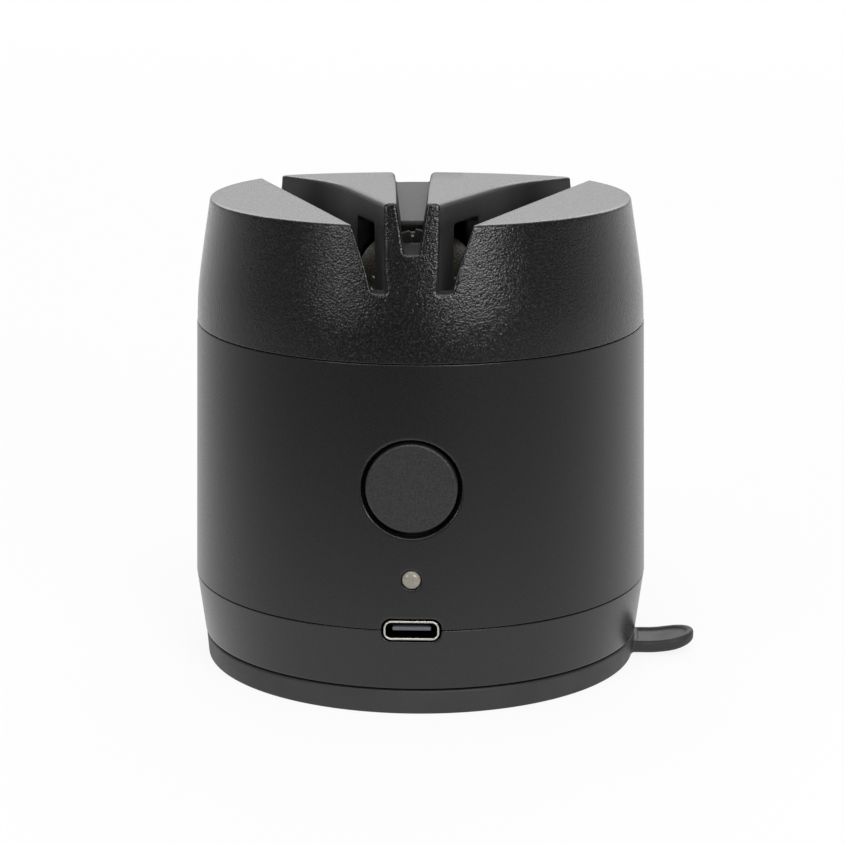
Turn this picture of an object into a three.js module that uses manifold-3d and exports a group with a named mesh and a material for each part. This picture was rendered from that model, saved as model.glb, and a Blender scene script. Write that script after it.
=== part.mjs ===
import * as THREE from "three";
import { ConvexGeometry } from "three/addons/geometries/ConvexGeometry.js";
import { mergeVertices } from "three/addons/utils/BufferGeometryUtils.js";
import Module from "manifold-3d";

const wasm = await Module();
wasm.setup();

// Electric knife sharpener: a round tower with three slots in its head, a push button, a lamp and a
// charging socket at the front (-Y), on a rubber suction foot. Millimetres, +Z up, origin on the
// tower's axis in the plane of the table.

// Stacked shells: the body's widest radius, the steps at the seams and the taper of each shell
const bodyRadius = 38.33;
const sleeveTaper = 0.75;
const sleeveHeight = 43.17;
const skirtStep = 0.05;
const skirtHeight = 4.7;
const headTaper = 2.5;
const headHeight = 20.47;
const headTilt = THREE.MathUtils.degToRad(1.63);
const baseStep = 0.05;
const baseTaper = 1.35;
const baseHeight = 10.08;
const footStep = 0.1;
const footTaper = 0.35;
const footHeight = 4.1;
const seamGap = 0.3;
const shellWall = 2.2;
const edgeBreak = 0.5;

// Fits
const fitGap = 0.3;
const snugGap = 0.15;
const overrun = 3.0;
const mergeReach = 0.0001;
const facets = { shell: 64, face: 48, part: 24, small: 12, fine: 8, nut: 6 };
const bendSteps = 3;

// Side slots for the driven stages
const slotDepth = 9.27;
const slotShoulder = 13.83;
const slotPlanAngle = THREE.MathUtils.degToRad(19.6);
const slotLean = THREE.MathUtils.degToRad(13.6);
const slotWall = 1.8;
const innerWallSteps = 20;
const innerWallShares = [
  [0.122, -1.12],
  [0.128, -0.97],
  [0.197, -0.66],
  [0.284, -0.29],
  [0.376, 0.085],
  [0.462, 0.3],
  [0.58, 0.49],
  [0.716, 0.69],
  [0.86, 0.89],
];
const windowFrontReach = 11.0;
const windowBackReach = 4.0;
const windowDrop = 4.1;

// Middle part and its slot for the finishing stage
const middleRise = 1.48;
const middleTilt = THREE.MathUtils.degToRad(5.14);
const finishSlotDepth = 3.37;
const finishFrontFloorHalf = 1.12;
const finishFrontTopHalf = 2.54;
const finishBackFloorHalf = 3.15;
const finishBackTopHalf = 4.1;
const finishFrontShift = 0.12;
const finishBackShift = -2.85;
const finishTopSpan = 9.0;
const wellFrontReach = 10.1;
const wellBackReach = 8.5;
const wellHalf = 5.0;

// Finishing plates
const plateThickness = 1.4;
const plateWidth = 2.0;
const plateLength = 2.4;
const plateLean = THREE.MathUtils.degToRad(16);
const plateVertexDrop = 0.1;
const plateTail = 0.6;

// Grinding wheel and its drive
const wheelRadius = 10.4;
const wheelTopRadius = 4.6;
const wheelTopDrop = 4.4;
const wheelFloorGap = 3.55;
const wheelRimHeight = 2.0;
const wheelClearance = 0.7;
const domeSteps = 8;
const nutRecessRadius = 3.7;
const nutRecessDepth = 1.7;
const nutRadius = 3.0;
const nutHeight = 1.3;
const shaftRadius = 1.15;
const shaftProud = 0.4;
const hubRadius = 3.0;
const hubFlangeRadius = 5.6;
const hubFlangeHeight = 1.9;

// Motor
const motorRadius = 12.2;
const motorLength = 27.4;
const motorBossRadius = 3.1;
const motorBossHeight = 1.5;
const motorRound = 1.0;
const endCapHeight = 2.6;
const endCapInset = 0.4;
const brushHumpWidth = 15.0;
const brushHumpDepth = 6.5;
const brushHumpHeight = 1.6;
const terminalWidth = 2.0;
const terminalThickness = 0.5;
const terminalLength = 5.0;
const terminalSpread = 8.6;
const shaftSeat = 8.0;
const motorScrewSpread = 8.0;
const motorScrewRadius = 1.2;
const motorScrewHeadRadius = 2.1;
const motorScrewHeadHeight = 1.2;
const motorScrewLength = 4.6;

// Motor bracket, the floor of the wheel chamber
const bracketThickness = 2.0;
const bracketRim = 0.75;
const bracketCollarWall = 1.6;
const bracketCollarHeight = 8.0;
const dustRingGap = 1.5;
const dustRingWall = 1.4;
const dustRingHeight = 2.2;
const cableSlotLength = 9.0;
const cableSlotWidth = 4.0;
const cableSlotSetBack = 12.3;
const bracketScrewInset = 6.2;
const bracketScrewAngles = [-12, 192, 62].map(THREE.MathUtils.degToRad);
const bossRadius = 3.1;
const screwSoftShare = 0.33;
const screwRadius = 1.3;
const screwHeadRadius = 2.6;
const screwHeadHeight = 1.6;
const bracketScrewLength = 9.0;
const ledgeWidth = 2.4;
const ledgeHeight = 2.2;

// Base shell
const baseFloor = 2.2;
const spigotHeight = 3.2;
const spigotWall = 1.6;
const baseScrewInset = 6.6;
const baseScrewAngles = [40, 140, 220, 320].map(THREE.MathUtils.degToRad);
const baseScrewLength = 18.0;
const screwWellGap = 0.5;
const screwWellDepth = 3.4;
const baseBossHeight = 10.4;
const sleeveBossHeight = 11.0;
const pocketWall = 1.2;
const pocketHeight = 3.0;

// Suction foot and pull tab
const studRadius = 3.2;
const studHeight = 2.0;
const padRadius = 11.0;
const cupLip = 3.2;
const cupDepth = 1.3;
const cupSlope = 2.4;
const tabLength = 10.2;
const tabWidth = 9.0;
const tabThickness = 2.1;
const tabDrop = 0.4;
const tabCurl = 2.05;
const tabCurlLength = 8.0;
const tabRoot = 4.5;
const tabRim = 1.5;
const tabScoop = 0.7;
const tabSteps = 6;

// Cell and its cradle
const cellRadius = 9.2;
const cellLength = 35.0;
const cellRound = 0.8;
const capRadius = 3.0;
const capHeight = 0.8;
const cradleWall = 1.5;
const cradleFloor = 1.6;
const cradleHeight = 28.0;
const cradleMouth = 15.0;
const contactWidth = 5.0;
const contactLength = 15.0;
const contactThickness = 0.4;

// Circuit board and what it carries
const boardWidth = 28.0;
const boardThickness = 1.6;
const boardInset = 5.7;
const boardFloorGap = 4.6;
const boardCorner = 2.0;
const postRadius = 2.6;
const postEdge = 0.2;
const postDrop = 2.7;
const boardScrewRadius = 1.0;
const boardScrewHeadRadius = 2.1;
const boardScrewHeadHeight = 1.2;
const chipSize = 5.0;
const chipHeight = 1.0;
const chipShift = -6.5;
const chipGap = 0.6;

// Push button, switch and its plunger
const buttonLampGap = 2.1;
const buttonRadius = 7.55;
const buttonGap = 0.6;
const buttonInset = 0.35;
const buttonChamfer = 0.45;
const buttonLap = 1.35;
const buttonFlange = 1.0;
const buttonStemRadius = 2.4;
const buttonTravel = 0.7;
const switchSize = 6.0;
const switchDepth = 1.5;
const plungerRadius = 1.7;
const plungerLength = 1.9;
const collarWall = 1.2;
const collarGap = 0.4;
const collarStandOff = 0.8;

// Lamp
const lampSocketGap = 4.5;
const lampRadius = 1.5;
const lampProud = 0.35;
const lampDome = 0.7;
const lampFlangeRadius = 2.3;
const lampFlange = 1.0;
const diodeSize = 1.6;
const diodeHeight = 0.8;

// Charging socket
const socketWidth = 8.94;
const socketThickness = 3.2;
const socketWall = 0.35;
const socketInset = 0.25;
const socketRecess = 0.45;
const coreDepth = 2.6;
const tongueGap = 0.77;
const tongueThickness = 0.7;
const tongueDepth = 3.8;

// Radii that follow from the body's
const sleeveTopRadius = bodyRadius - sleeveTaper;
const skirtRadius = sleeveTopRadius - skirtStep;
const headTopRadius = skirtRadius - headTaper;
const baseTopRadius = bodyRadius - baseStep;
const baseBottomRadius = baseTopRadius - baseTaper;
const footTopRadius = baseBottomRadius - footStep;
const footBottomRadius = footTopRadius - footTaper;
const sleeveInnerTop = sleeveTopRadius - shellWall;
const sleeveInnerBottom = bodyRadius - shellWall;
const spigotOuter = sleeveInnerBottom - fitGap;
const spigotInner = spigotOuter - spigotWall;
const bracketRadius = skirtRadius - shellWall - bracketRim;
const bracketScrewRing = bracketRadius - bracketScrewInset;
const baseScrewRing = sleeveInnerBottom - baseScrewInset;
const screwWellRadius = screwHeadRadius + screwWellGap;
const dustRingRadius = motorScrewSpread + motorScrewHeadRadius + dustRingGap + dustRingWall;
const tabReach = footTopRadius + tabLength;

// Levels that follow from the stack
const baseBottom = footHeight + seamGap;
const baseTop = baseBottom + baseHeight;
const floorTop = baseBottom + baseFloor;
const sleeveBottom = baseTop + seamGap;
const sleeveTop = sleeveBottom + sleeveHeight;
const headBottom = sleeveTop + seamGap;
const headTop = headBottom + headHeight;
const slotFloor = headTop - slotDepth;
const finishFloor = headTop - finishSlotDepth;
const middleTop = headTop + middleRise;
const skirtTop = headBottom + skirtHeight;
const headSlope = (skirtRadius - headTopRadius) / (headTop - skirtTop);
const bracketBottom = headBottom - bracketThickness / 2;
const bracketTop = bracketBottom + bracketThickness;
const motorTop = bracketBottom - fitGap;
const motorBottom = motorTop - motorLength;
const endCapBottom = motorBottom - snugGap - endCapHeight;
const wheelTop = headTop - wheelTopDrop;
const wheelBottom = bracketTop + wheelFloorGap;
const hubBottom = wheelBottom - snugGap - hubFlangeHeight;
const hubTop = wheelTop - nutRecessDepth - snugGap;
const cradleBottom = floorTop + fitGap;
const contactBottom = cradleBottom + cradleFloor + snugGap;
const cellBottom = contactBottom + contactThickness + snugGap;
const cellTop = cellBottom + cellLength;

// Front wall: the socket straddles the lower seam, with the lamp and the button above it
const buttonOpeningRadius = buttonRadius + buttonGap;
const buttonFlangeRadius = buttonRadius + buttonLap;
const collarInner = buttonFlangeRadius + collarGap;
const collarOuter = collarInner + collarWall;
const socketHeight = (baseTop + sleeveBottom) / 2;
const lampHeight = socketHeight + socketThickness / 2 + lampSocketGap + lampFlangeRadius;
const buttonHeight = lampHeight + lampFlangeRadius + buttonLampGap + collarOuter;

// The board stands behind the front wall, on posts beside and above the button's collar
const boardFront = boardInset - sleeveInnerBottom;
const boardBack = boardFront + boardThickness;
const boardBottom = floorTop + boardFloorGap;
const postSpread = boardWidth / 2 - postRadius - postEdge;
const postReach = collarOuter + postRadius + fitGap;
const postHeight = buttonHeight + Math.sqrt(Math.max(0, postReach ** 2 - postSpread ** 2));
const boardTop = postHeight + postDrop;

// The motor stands behind the board, with the wheel above it and the cell between it and the back
const motorCollarInner = motorRadius + fitGap;
const motorCollarOuter = motorCollarInner + bracketCollarWall;
const wheelY = boardBack + fitGap + motorCollarOuter;
const wellFront = wheelY - wellFrontReach;
const wellBack = wheelY + wellBackReach;
const cableSlotY = wheelY + motorRadius + cableSlotSetBack;
const cellY = (wheelY + motorRadius + spigotInner) / 2;
const cradleInner = cellRadius + fitGap;
const cradleOuter = cradleInner + cradleWall;

// Small helpers: a closed geometry as a solid, a profile turned round Z, an outline raised along Z

function solid(geometry) {
  const bare = geometry.clone();
  bare.deleteAttribute("normal");
  bare.deleteAttribute("uv");
  const merged = mergeVertices(bare, mergeReach);
  const corners = merged.index.array;
  const kept = [];
  for (let i = 0; i < corners.length; i += 3) {
    const [a, b, c] = [corners[i], corners[i + 1], corners[i + 2]];
    if (a !== b && b !== c && c !== a) kept.push(a, b, c);
  }
  return new wasm.Manifold(
    new wasm.Mesh({
      numProp: 3,
      vertProperties: merged.attributes.position.array,
      triVerts: new Uint32Array(kept),
    }),
  );
}

function points(pairs) {
  return pairs.map(([x, y]) => new THREE.Vector2(x, y));
}

function revolve(pairs, sides = facets.part) {
  const profile = points(pairs);
  if (THREE.ShapeUtils.area(profile) > 0) profile.reverse();
  profile.push(profile[0].clone());
  const turned = new THREE.LatheGeometry(profile.reverse(), sides);
  return turned.rotateX(Math.PI / 2);
}

function raise(shape, bottom, top, steps = facets.fine) {
  const options = { depth: top - bottom, bevelEnabled: false, curveSegments: steps };
  return new THREE.ExtrudeGeometry(shape, options).translate(0, 0, bottom);
}

function block(low, high) {
  const size = high.map((value, i) => value - low[i]);
  const middle = high.map((value, i) => (value + low[i]) / 2);
  return new THREE.BoxGeometry(...size).translate(...middle);
}

function round(radius, bottom, top, sides = facets.part) {
  return revolve([[0, bottom], [radius, bottom], [radius, top], [0, top]], sides);
}

function hull(corners) {
  return new ConvexGeometry(corners.map(([x, y, z]) => new THREE.Vector3(x, y, z)));
}

// A geometry raised along Z is laid down so that its axis runs inwards, along +Y
function inwards(geometry, front, height, across = 0) {
  return geometry.rotateX(-Math.PI / 2).translate(across, front, height);
}

function stadium(width, height) {
  const radius = height / 2;
  const reach = width / 2 - radius;
  const outline = new THREE.Shape();
  outline.absarc(reach, 0, radius, -Math.PI / 2, Math.PI / 2);
  outline.absarc(-reach, 0, radius, Math.PI / 2, (Math.PI * 3) / 2);
  return outline;
}

function arc(centre, radius, from, to, steps) {
  return Array.from({ length: steps + 1 }, (unused, i) => {
    const angle = from + ((to - from) * i) / steps;
    return [centre[0] + radius * Math.cos(angle), centre[1] + radius * Math.sin(angle)];
  });
}

function around(ring, angle) {
  return [ring * Math.cos(angle), ring * Math.sin(angle)];
}

// Radius of the sleeve's outer face at a height, and the front of a flat cut across it
function sleeveRadius(height) {
  const share = (height - sleeveBottom) / sleeveHeight;
  return bodyRadius + (sleeveTopRadius - bodyRadius) * share;
}

function chord(radius, half) {
  return Math.sqrt(radius * radius - half * half);
}

// Depth of the sleeve's inner face beside something round that stands in the front wall
function innerFace(height, half) {
  return -chord(sleeveRadius(height + half) - shellWall, half);
}

// Side slot: between the curved wall of the middle part and the leaning wall outside it

function slotEdge(y, z, skin) {
  const along = headTopRadius - slotShoulder + y * Math.tan(slotPlanAngle);
  const lean = ((z - headTop) * Math.tan(slotLean)) / Math.cos(slotPlanAngle);
  return along + lean + skin / Math.cos(slotPlanAngle);
}

function innerWall(side, inset) {
  const knots = innerWallShares.map(
    ([x, y]) => new THREE.Vector2(x * headTopRadius, y * headTopRadius),
  );
  const curve = new THREE.SplineCurve(knots);
  return Array.from({ length: innerWallSteps + 1 }, (unused, i) => {
    const at = curve.getPoint(i / innerWallSteps);
    const along = curve.getTangent(i / innerWallSteps);
    return [side * (at.x - along.y * inset), at.y + along.x * inset];
  });
}

function sideSlot(side, skin) {
  const reach = headTopRadius + overrun;
  const past = reach + slotDepth;
  const outline = [...innerWall(side, skin), [side * reach, past], [side * reach, -past]];
  const floor = slotFloor - skin;
  const roof = middleTop + middleRise + overrun;
  const prism = solid(raise(new THREE.Shape(points(outline)), floor, roof));
  const corners = [];
  for (const y of [-reach, reach]) {
    for (const z of [floor - overrun, roof + overrun]) {
      corners.push([0, y, z], [side * slotEdge(y, z, skin), y, z]);
    }
  }
  return prism.intersect(solid(hull(corners)));
}

// The middle part's plan reaches a little into the side slots, which then trim it
function middlePlan() {
  const reach = headTopRadius * innerWallShares.at(-1)[0];
  const past = headTopRadius + overrun;
  const right = innerWall(1, -fitGap);
  const left = innerWall(-1, -fitGap).reverse();
  return new THREE.Shape(points([...right, [reach, past], [-reach, past], ...left]));
}

// Everything under a face that stands at a level on the axis and slopes down to the back
function below(level, tilt) {
  const reach = bodyRadius + overrun;
  const corners = [];
  for (const y of [-reach, reach]) {
    const top = level - y * Math.tan(tilt);
    for (const x of [-reach, reach]) corners.push([x, y, headBottom - overrun], [x, y, top]);
  }
  return solid(hull(corners));
}

// Finishing slot: a V that widens and slants to the back
function finishSlot(skin) {
  const reach = headTopRadius + overrun;
  const floor = finishFloor - skin;
  const top = finishFloor + finishTopSpan;
  const ends = [
    [-reach, finishFrontShift, finishFrontFloorHalf, finishFrontTopHalf],
    [reach, finishBackShift, finishBackFloorHalf, finishBackTopHalf],
  ];
  const corners = [];
  for (const [y, shift, low, high] of ends) {
    for (const side of [-1, 1]) {
      corners.push([shift + side * (low + skin), y, floor], [shift + side * (high + skin), y, top]);
    }
  }
  return solid(hull(corners));
}

// Moulded head: skirt and cone with slots, windows to the wheel and a hollow underside

function coneRadius(z) {
  return skirtRadius - (z - skirtTop) * headSlope;
}

function headCone(skin) {
  const bottom = skin > 0 ? headBottom - overrun : headBottom;
  const top = middleTop + middleRise + overrun;
  const radius = skirtRadius - skin;
  const rim = coneRadius(top) - skin;
  return solid(revolve([[0, bottom], [radius, bottom], [radius, skirtTop], [rim, top], [0, top]], facets.shell));
}

function wheelPocket() {
  const radius = wheelRadius + wheelClearance;
  const top = wheelTop + wheelClearance;
  const rim = wheelBottom + wheelRimHeight + wheelClearance;
  const shoulder = wheelTopRadius + wheelClearance;
  const outline = [[0, headBottom], [radius, headBottom], ...dome(radius, rim, shoulder, top), [0, top]];
  return solid(revolve(outline, facets.part).translate(0, wheelY, 0));
}

function wheelWindow(side) {
  const inside = innerWall(side, slotWall + fitGap);
  const outside = innerWall(side, -fitGap).reverse();
  const band = new THREE.Shape(points([...inside, ...outside]));
  const strip = solid(raise(band, slotFloor, middleTop)).intersect(below(middleTop - windowDrop, middleTilt));
  const reach = headTopRadius + overrun;
  const front = wheelY - windowFrontReach;
  const back = wheelY + windowBackReach;
  return strip.intersect(solid(block([-reach, front, headBottom], [reach, back, middleTop])));
}

function headBosses() {
  return bracketScrewAngles.map((angle) => {
    const [x, y] = around(bracketScrewRing, angle);
    const post = round(bossRadius, bracketTop + fitGap, middleTop + overrun, facets.small);
    return solid(post.translate(x, y, 0));
  });
}

function headHousing() {
  const tall = middleTop + middleRise + overrun * 2;
  const middleBand = solid(raise(middlePlan(), slotFloor, tall));
  const cone = headCone(0);
  const inside = headCone(shellWall);
  const shoulders = cone.intersect(below(headTop, headTilt)).subtract(middleBand);
  const outer = shoulders.add(cone.intersect(middleBand).intersect(below(middleTop, middleTilt)));

  let hollow = inside.intersect(below(headTop - shellWall, headTilt)).subtract(middleBand);
  hollow = hollow.add(inside.intersect(middleBand).intersect(below(middleTop - shellWall, middleTilt)));
  for (const side of [-1, 1]) hollow = hollow.subtract(sideSlot(side, slotWall));
  hollow = hollow.subtract(finishSlot(slotWall));
  for (const boss of headBosses()) hollow = hollow.subtract(boss);

  let head = outer.subtract(hollow);
  for (const side of [-1, 1]) head = head.subtract(sideSlot(side, 0)).subtract(wheelWindow(side));
  head = head.subtract(finishSlot(0)).subtract(wheelPocket());
  head = head.subtract(
    solid(block([-wellHalf, wellFront, wheelBottom], [wellHalf, wellBack, finishFloor + snugGap])),
  );
  for (const side of [-1, 1]) head = head.subtract(solid(finishingPlate(side, fitGap)));
  for (const angle of bracketScrewAngles) {
    const [x, y] = around(bracketScrewRing, angle);
    const top = bracketTop + bracketScrewLength;
    const bore = round(screwRadius + snugGap, headBottom - overrun, top, facets.fine);
    head = head.subtract(solid(bore.translate(x, y, 0)));
  }
  return head;
}

// Finishing plates: two thin hard plates that cross and leave a V between their edges

function finishingPlate(side, skin) {
  const front = wellFront + fitGap + (side > 0 ? plateThickness + fitGap : 0);
  const share = (front + headTopRadius) / (headTopRadius + headTopRadius);
  const shift = finishFrontShift + (finishBackShift - finishFrontShift) * share;
  const plate = block(
    [-skin, -skin, -plateTail - skin],
    [plateWidth + skin, plateThickness + skin, plateLength - plateTail + skin],
  );
  if (side < 0) plate.translate(-plateWidth, 0, 0);
  plate.rotateY(side * plateLean);
  return plate.translate(shift, front, finishFloor - plateVertexDrop);
}

// Grinding wheel with a domed shoulder, on a flanged hub, held by a nut

function dome(radius, rim, topRadius, top) {
  const across = radius - topRadius;
  const up = top - rim;
  return Array.from({ length: domeSteps + 1 }, (unused, i) => {
    const angle = ((Math.PI / 2) * i) / domeSteps;
    return [topRadius + across * Math.cos(angle), rim + up * Math.sin(angle)];
  });
}

function grindingWheel() {
  const bore = hubRadius + snugGap;
  const rim = wheelBottom + wheelRimHeight;
  return revolve([
    [bore, wheelBottom],
    [wheelRadius, wheelBottom],
    ...dome(wheelRadius, rim, wheelTopRadius, wheelTop),
    [nutRecessRadius, wheelTop],
    [nutRecessRadius, wheelTop - nutRecessDepth],
    [bore, wheelTop - nutRecessDepth],
  ]);
}

function wheelHub() {
  const bore = shaftRadius + snugGap;
  return revolve([
    [bore, hubBottom],
    [hubFlangeRadius, hubBottom],
    [hubFlangeRadius, hubBottom + hubFlangeHeight],
    [hubRadius, hubBottom + hubFlangeHeight],
    [hubRadius, hubTop],
    [bore, hubTop],
  ], facets.part);
}

function wheelNut() {
  const bottom = hubTop + snugGap + snugGap;
  const hexagon = new THREE.CylinderGeometry(nutRadius, nutRadius, nutHeight, facets.nut);
  const body = solid(hexagon.rotateX(Math.PI / 2).translate(0, 0, bottom + nutHeight / 2));
  const bore = round(shaftRadius + snugGap, bottom - overrun, bottom + nutHeight + overrun, facets.part);
  return body.subtract(solid(bore));
}

function motorShaft() {
  const top = hubTop + snugGap + snugGap + nutHeight + shaftProud;
  return round(shaftRadius, motorTop - shaftSeat, top, facets.part);
}

// Motor: a steel can with a bearing boss, and a moulded end cap with two terminals

function motorCan() {
  const bossTop = motorTop + motorBossHeight;
  const bore = shaftRadius + fitGap;
  const middle = [motorRadius - motorRound, motorTop - motorRound];
  const bend = arc(middle, motorRound, 0, Math.PI / 2, bendSteps);
  const can = solid(revolve([
    [0, motorBottom],
    [motorRadius, motorBottom],
    ...bend,
    [motorBossRadius, motorTop],
    [motorBossRadius, bossTop],
    [bore, bossTop],
    [bore, motorTop - shaftSeat - fitGap],
    [0, motorTop - shaftSeat - fitGap],
  ]));
  let tapped = can;
  for (const side of [-1, 1]) {
    const hole = round(motorScrewRadius + snugGap, motorTop - motorScrewLength, bossTop, facets.fine);
    tapped = tapped.subtract(solid(hole.translate(side * motorScrewSpread, 0, 0)));
  }
  return tapped;
}

function motorEndCap() {
  const disc = solid(round(motorRadius - endCapInset, endCapBottom, motorBottom - snugGap));
  const hump = solid(block(
    [-brushHumpWidth / 2, -brushHumpDepth / 2, endCapBottom - brushHumpHeight],
    [brushHumpWidth / 2, brushHumpDepth / 2, endCapBottom + snugGap],
  ));
  let cap = disc.add(hump);
  for (const side of [-1, 1]) cap = cap.subtract(solid(terminal(side, snugGap)));
  return cap;
}

function terminal(side, skin) {
  const x = side * terminalSpread;
  const top = endCapBottom + endCapHeight / 2;
  return block(
    [x - terminalThickness / 2 - skin, -terminalWidth / 2 - skin, top - terminalLength - skin],
    [x + terminalThickness / 2 + skin, terminalWidth / 2 + skin, top + skin],
  );
}

// Screws: a pan head on a plain shank, standing head down

function screw(radius, headRadius, headHeight, length) {
  const soft = headHeight * screwSoftShare;
  return revolve([
    [0, 0],
    [headRadius - soft, 0],
    [headRadius, soft],
    [headRadius, headHeight],
    [radius, headHeight],
    [radius, headHeight + length - radius],
    [radius / 2, headHeight + length],
    [0, headHeight + length],
  ], facets.small);
}

// Bracket: a disc under the head that carries the motor, with a ring that keeps grinding dust in

function motorBracket() {
  const plate = solid(revolve([
    [0, bracketBottom],
    [bracketRadius, bracketBottom],
    [bracketRadius, bracketTop],
    [0, bracketTop],
  ], facets.shell));
  const collar = solid(revolve([
    [motorCollarInner, bracketBottom - bracketCollarHeight],
    [motorCollarOuter, bracketBottom - bracketCollarHeight],
    [motorCollarOuter, bracketBottom + bracketThickness / 2],
    [motorCollarInner, bracketBottom + bracketThickness / 2],
  ]).translate(0, wheelY, 0));
  const ring = solid(revolve([
    [dustRingRadius - dustRingWall, bracketTop - bracketThickness / 2],
    [dustRingRadius, bracketTop - bracketThickness / 2],
    [dustRingRadius, bracketTop + dustRingHeight],
    [dustRingRadius - dustRingWall, bracketTop + dustRingHeight],
  ]).translate(0, wheelY, 0));
  let bracket = plate.add(collar).add(ring);
  const low = bracketBottom - bracketCollarHeight - overrun;
  const high = bracketTop + dustRingHeight + overrun;
  const bossHole = round(motorBossRadius + fitGap, low, high);
  bracket = bracket.subtract(solid(bossHole.translate(0, wheelY, 0)));
  for (const side of [-1, 1]) {
    const hole = round(motorScrewRadius + snugGap, low, high, facets.fine);
    bracket = bracket.subtract(solid(hole.translate(side * motorScrewSpread, wheelY, 0)));
  }
  for (const angle of bracketScrewAngles) {
    const [x, y] = around(bracketScrewRing, angle);
    const hole = round(screwRadius + fitGap, low, high, facets.fine);
    bracket = bracket.subtract(solid(hole.translate(x, y, 0)));
  }
  const slot = raise(stadium(cableSlotLength, cableSlotWidth), low, high);
  bracket = bracket.subtract(solid(slot.translate(0, cableSlotY, 0)));
  return bracket;
}

// Body sleeve with the button opening, the lamp hole and the upper half of the socket opening

function sleeveBoss(angle, skin) {
  const [x, y] = around(baseScrewRing, angle);
  const top = sleeveBottom + spigotHeight + sleeveBossHeight;
  const bottom = baseBottom + baseBossHeight + fitGap;
  const post = solid(round(bossRadius + skin, bottom, top, facets.small).translate(x, y, 0));
  const web = block(
    [0, -bossRadius / 2, bottom],
    [bodyRadius - baseScrewRing - shellWall / 2, bossRadius / 2, top],
  );
  return post.add(solid(web.rotateZ(angle).translate(x, y, 0)));
}

function bodySleeve() {
  const ledgeTop = bracketBottom - fitGap;
  const ledgeInner = sleeveInnerTop - ledgeWidth;
  let sleeve = solid(revolve([
    [sleeveInnerBottom, sleeveBottom],
    [bodyRadius - edgeBreak / 2, sleeveBottom],
    [bodyRadius, sleeveBottom + edgeBreak],
    [sleeveTopRadius, sleeveTop - edgeBreak / 2],
    [sleeveTopRadius - edgeBreak / 2, sleeveTop],
    [sleeveInnerTop, sleeveTop],
    [sleeveInnerTop, ledgeTop],
    [ledgeInner, ledgeTop],
    [ledgeInner, ledgeTop - ledgeHeight],
    [sleeveInnerTop, ledgeTop - ledgeHeight - ledgeWidth],
  ], facets.shell));
  for (const angle of baseScrewAngles) {
    const [x, y] = around(baseScrewRing, angle);
    const top = baseBottom + screwWellDepth + baseScrewLength + fitGap;
    const bore = round(screwRadius + snugGap, baseBottom + baseBossHeight, top, facets.fine);
    sleeve = sleeve.add(sleeveBoss(angle, 0)).subtract(solid(bore.translate(x, y, 0)));
  }
  const wallFront = -bodyRadius - overrun;
  const midWall = solid(round(sleeveTopRadius - shellWall / 2, sleeveBottom, sleeveTop, facets.shell));
  for (const side of [-1, 1]) {
    const x = side * postSpread;
    const back = boardFront - fitGap;
    const post = round(postRadius, 0, back - wallFront, facets.small);
    const bore = round(boardScrewRadius + snugGap, 0, back - postFront + overrun, facets.fine);
    sleeve = sleeve.add(solid(inwards(post, wallFront, postHeight, x)).intersect(midWall));
    sleeve = sleeve.subtract(solid(inwards(bore, postFront, postHeight, x)));
  }
  const opening = round(buttonOpeningRadius, 0, -boardFront, facets.face);
  sleeve = sleeve.subtract(solid(inwards(opening, wallFront, buttonHeight)));
  const flangeRoom = round(collarInner, 0, -flangeFront, facets.part);
  sleeve = sleeve.subtract(solid(inwards(flangeRoom, flangeFront - snugGap, buttonHeight)));
  const collarRoom = round(collarOuter + fitGap, 0, -collarFront, facets.part);
  sleeve = sleeve.subtract(solid(inwards(collarRoom, collarFront - snugGap, buttonHeight)));
  sleeve = sleeve.subtract(boardRoom());
  const lampHole = round(lampRadius + snugGap, 0, -boardFront, facets.small);
  sleeve = sleeve.subtract(solid(inwards(lampHole, wallFront, lampHeight)));
  return sleeve.subtract(socketOpening());
}

function boardRoom() {
  const half = boardWidth / 2 + fitGap;
  return solid(block(
    [-half, boardFront - snugGap, boardBottom - fitGap],
    [half, boardBack + fitGap, boardTop + fitGap],
  ));
}

function socketOpening() {
  const gap = socketRecess * 2;
  const outline = stadium(socketWidth + gap, socketThickness + gap);
  const front = -bodyRadius - overrun;
  return solid(inwards(raise(outline, 0, boardFront - front), front, socketHeight));
}

// Base shell: a tapered cup with a spigot into the sleeve, screw wells and a ring for the cradle

function baseShell() {
  const spigotTop = baseTop + spigotHeight;
  let shell = solid(revolve([
    [0, baseBottom],
    [baseBottomRadius - edgeBreak, baseBottom],
    [baseBottomRadius, baseBottom + edgeBreak],
    [baseTopRadius, baseTop - edgeBreak],
    [baseTopRadius - edgeBreak / 2, baseTop],
    [spigotOuter, baseTop],
    [spigotOuter, spigotTop],
    [spigotInner, spigotTop],
    [spigotInner, floorTop],
    [0, floorTop],
  ], facets.shell));
  for (const angle of baseScrewAngles) {
    const [x, y] = around(baseScrewRing, angle);
    const post = round(screwWellRadius + spigotWall, floorTop - baseFloor / 2, baseBottom + baseBossHeight);
    shell = shell.add(solid(post.translate(x, y, 0)));
  }
  const ringInner = cradleOuter + fitGap;
  const ring = revolve([
    [ringInner, floorTop - baseFloor / 2],
    [ringInner + pocketWall, floorTop - baseFloor / 2],
    [ringInner + pocketWall, floorTop + pocketHeight],
    [ringInner, floorTop + pocketHeight],
  ]);
  shell = shell.add(solid(ring.translate(0, cellY, 0)));
  shell = shell.subtract(solid(round(studRadius + fitGap, 0, floorTop + snugGap)));
  for (const angle of baseScrewAngles) {
    const [x, y] = around(baseScrewRing, angle);
    const well = round(screwWellRadius, 0, baseBottom + screwWellDepth, facets.small);
    const bore = round(screwRadius + fitGap, 0, spigotTop + overrun, facets.fine);
    shell = shell.subtract(solid(well.translate(x, y, 0))).subtract(solid(bore.translate(x, y, 0)));
    shell = shell.subtract(sleeveBoss(angle, fitGap));
  }
  return shell.subtract(socketOpening()).subtract(boardRoom());
}

// Suction foot: a soft disc with a hollow underside, a flat pad in the middle and a curled pull tab

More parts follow.
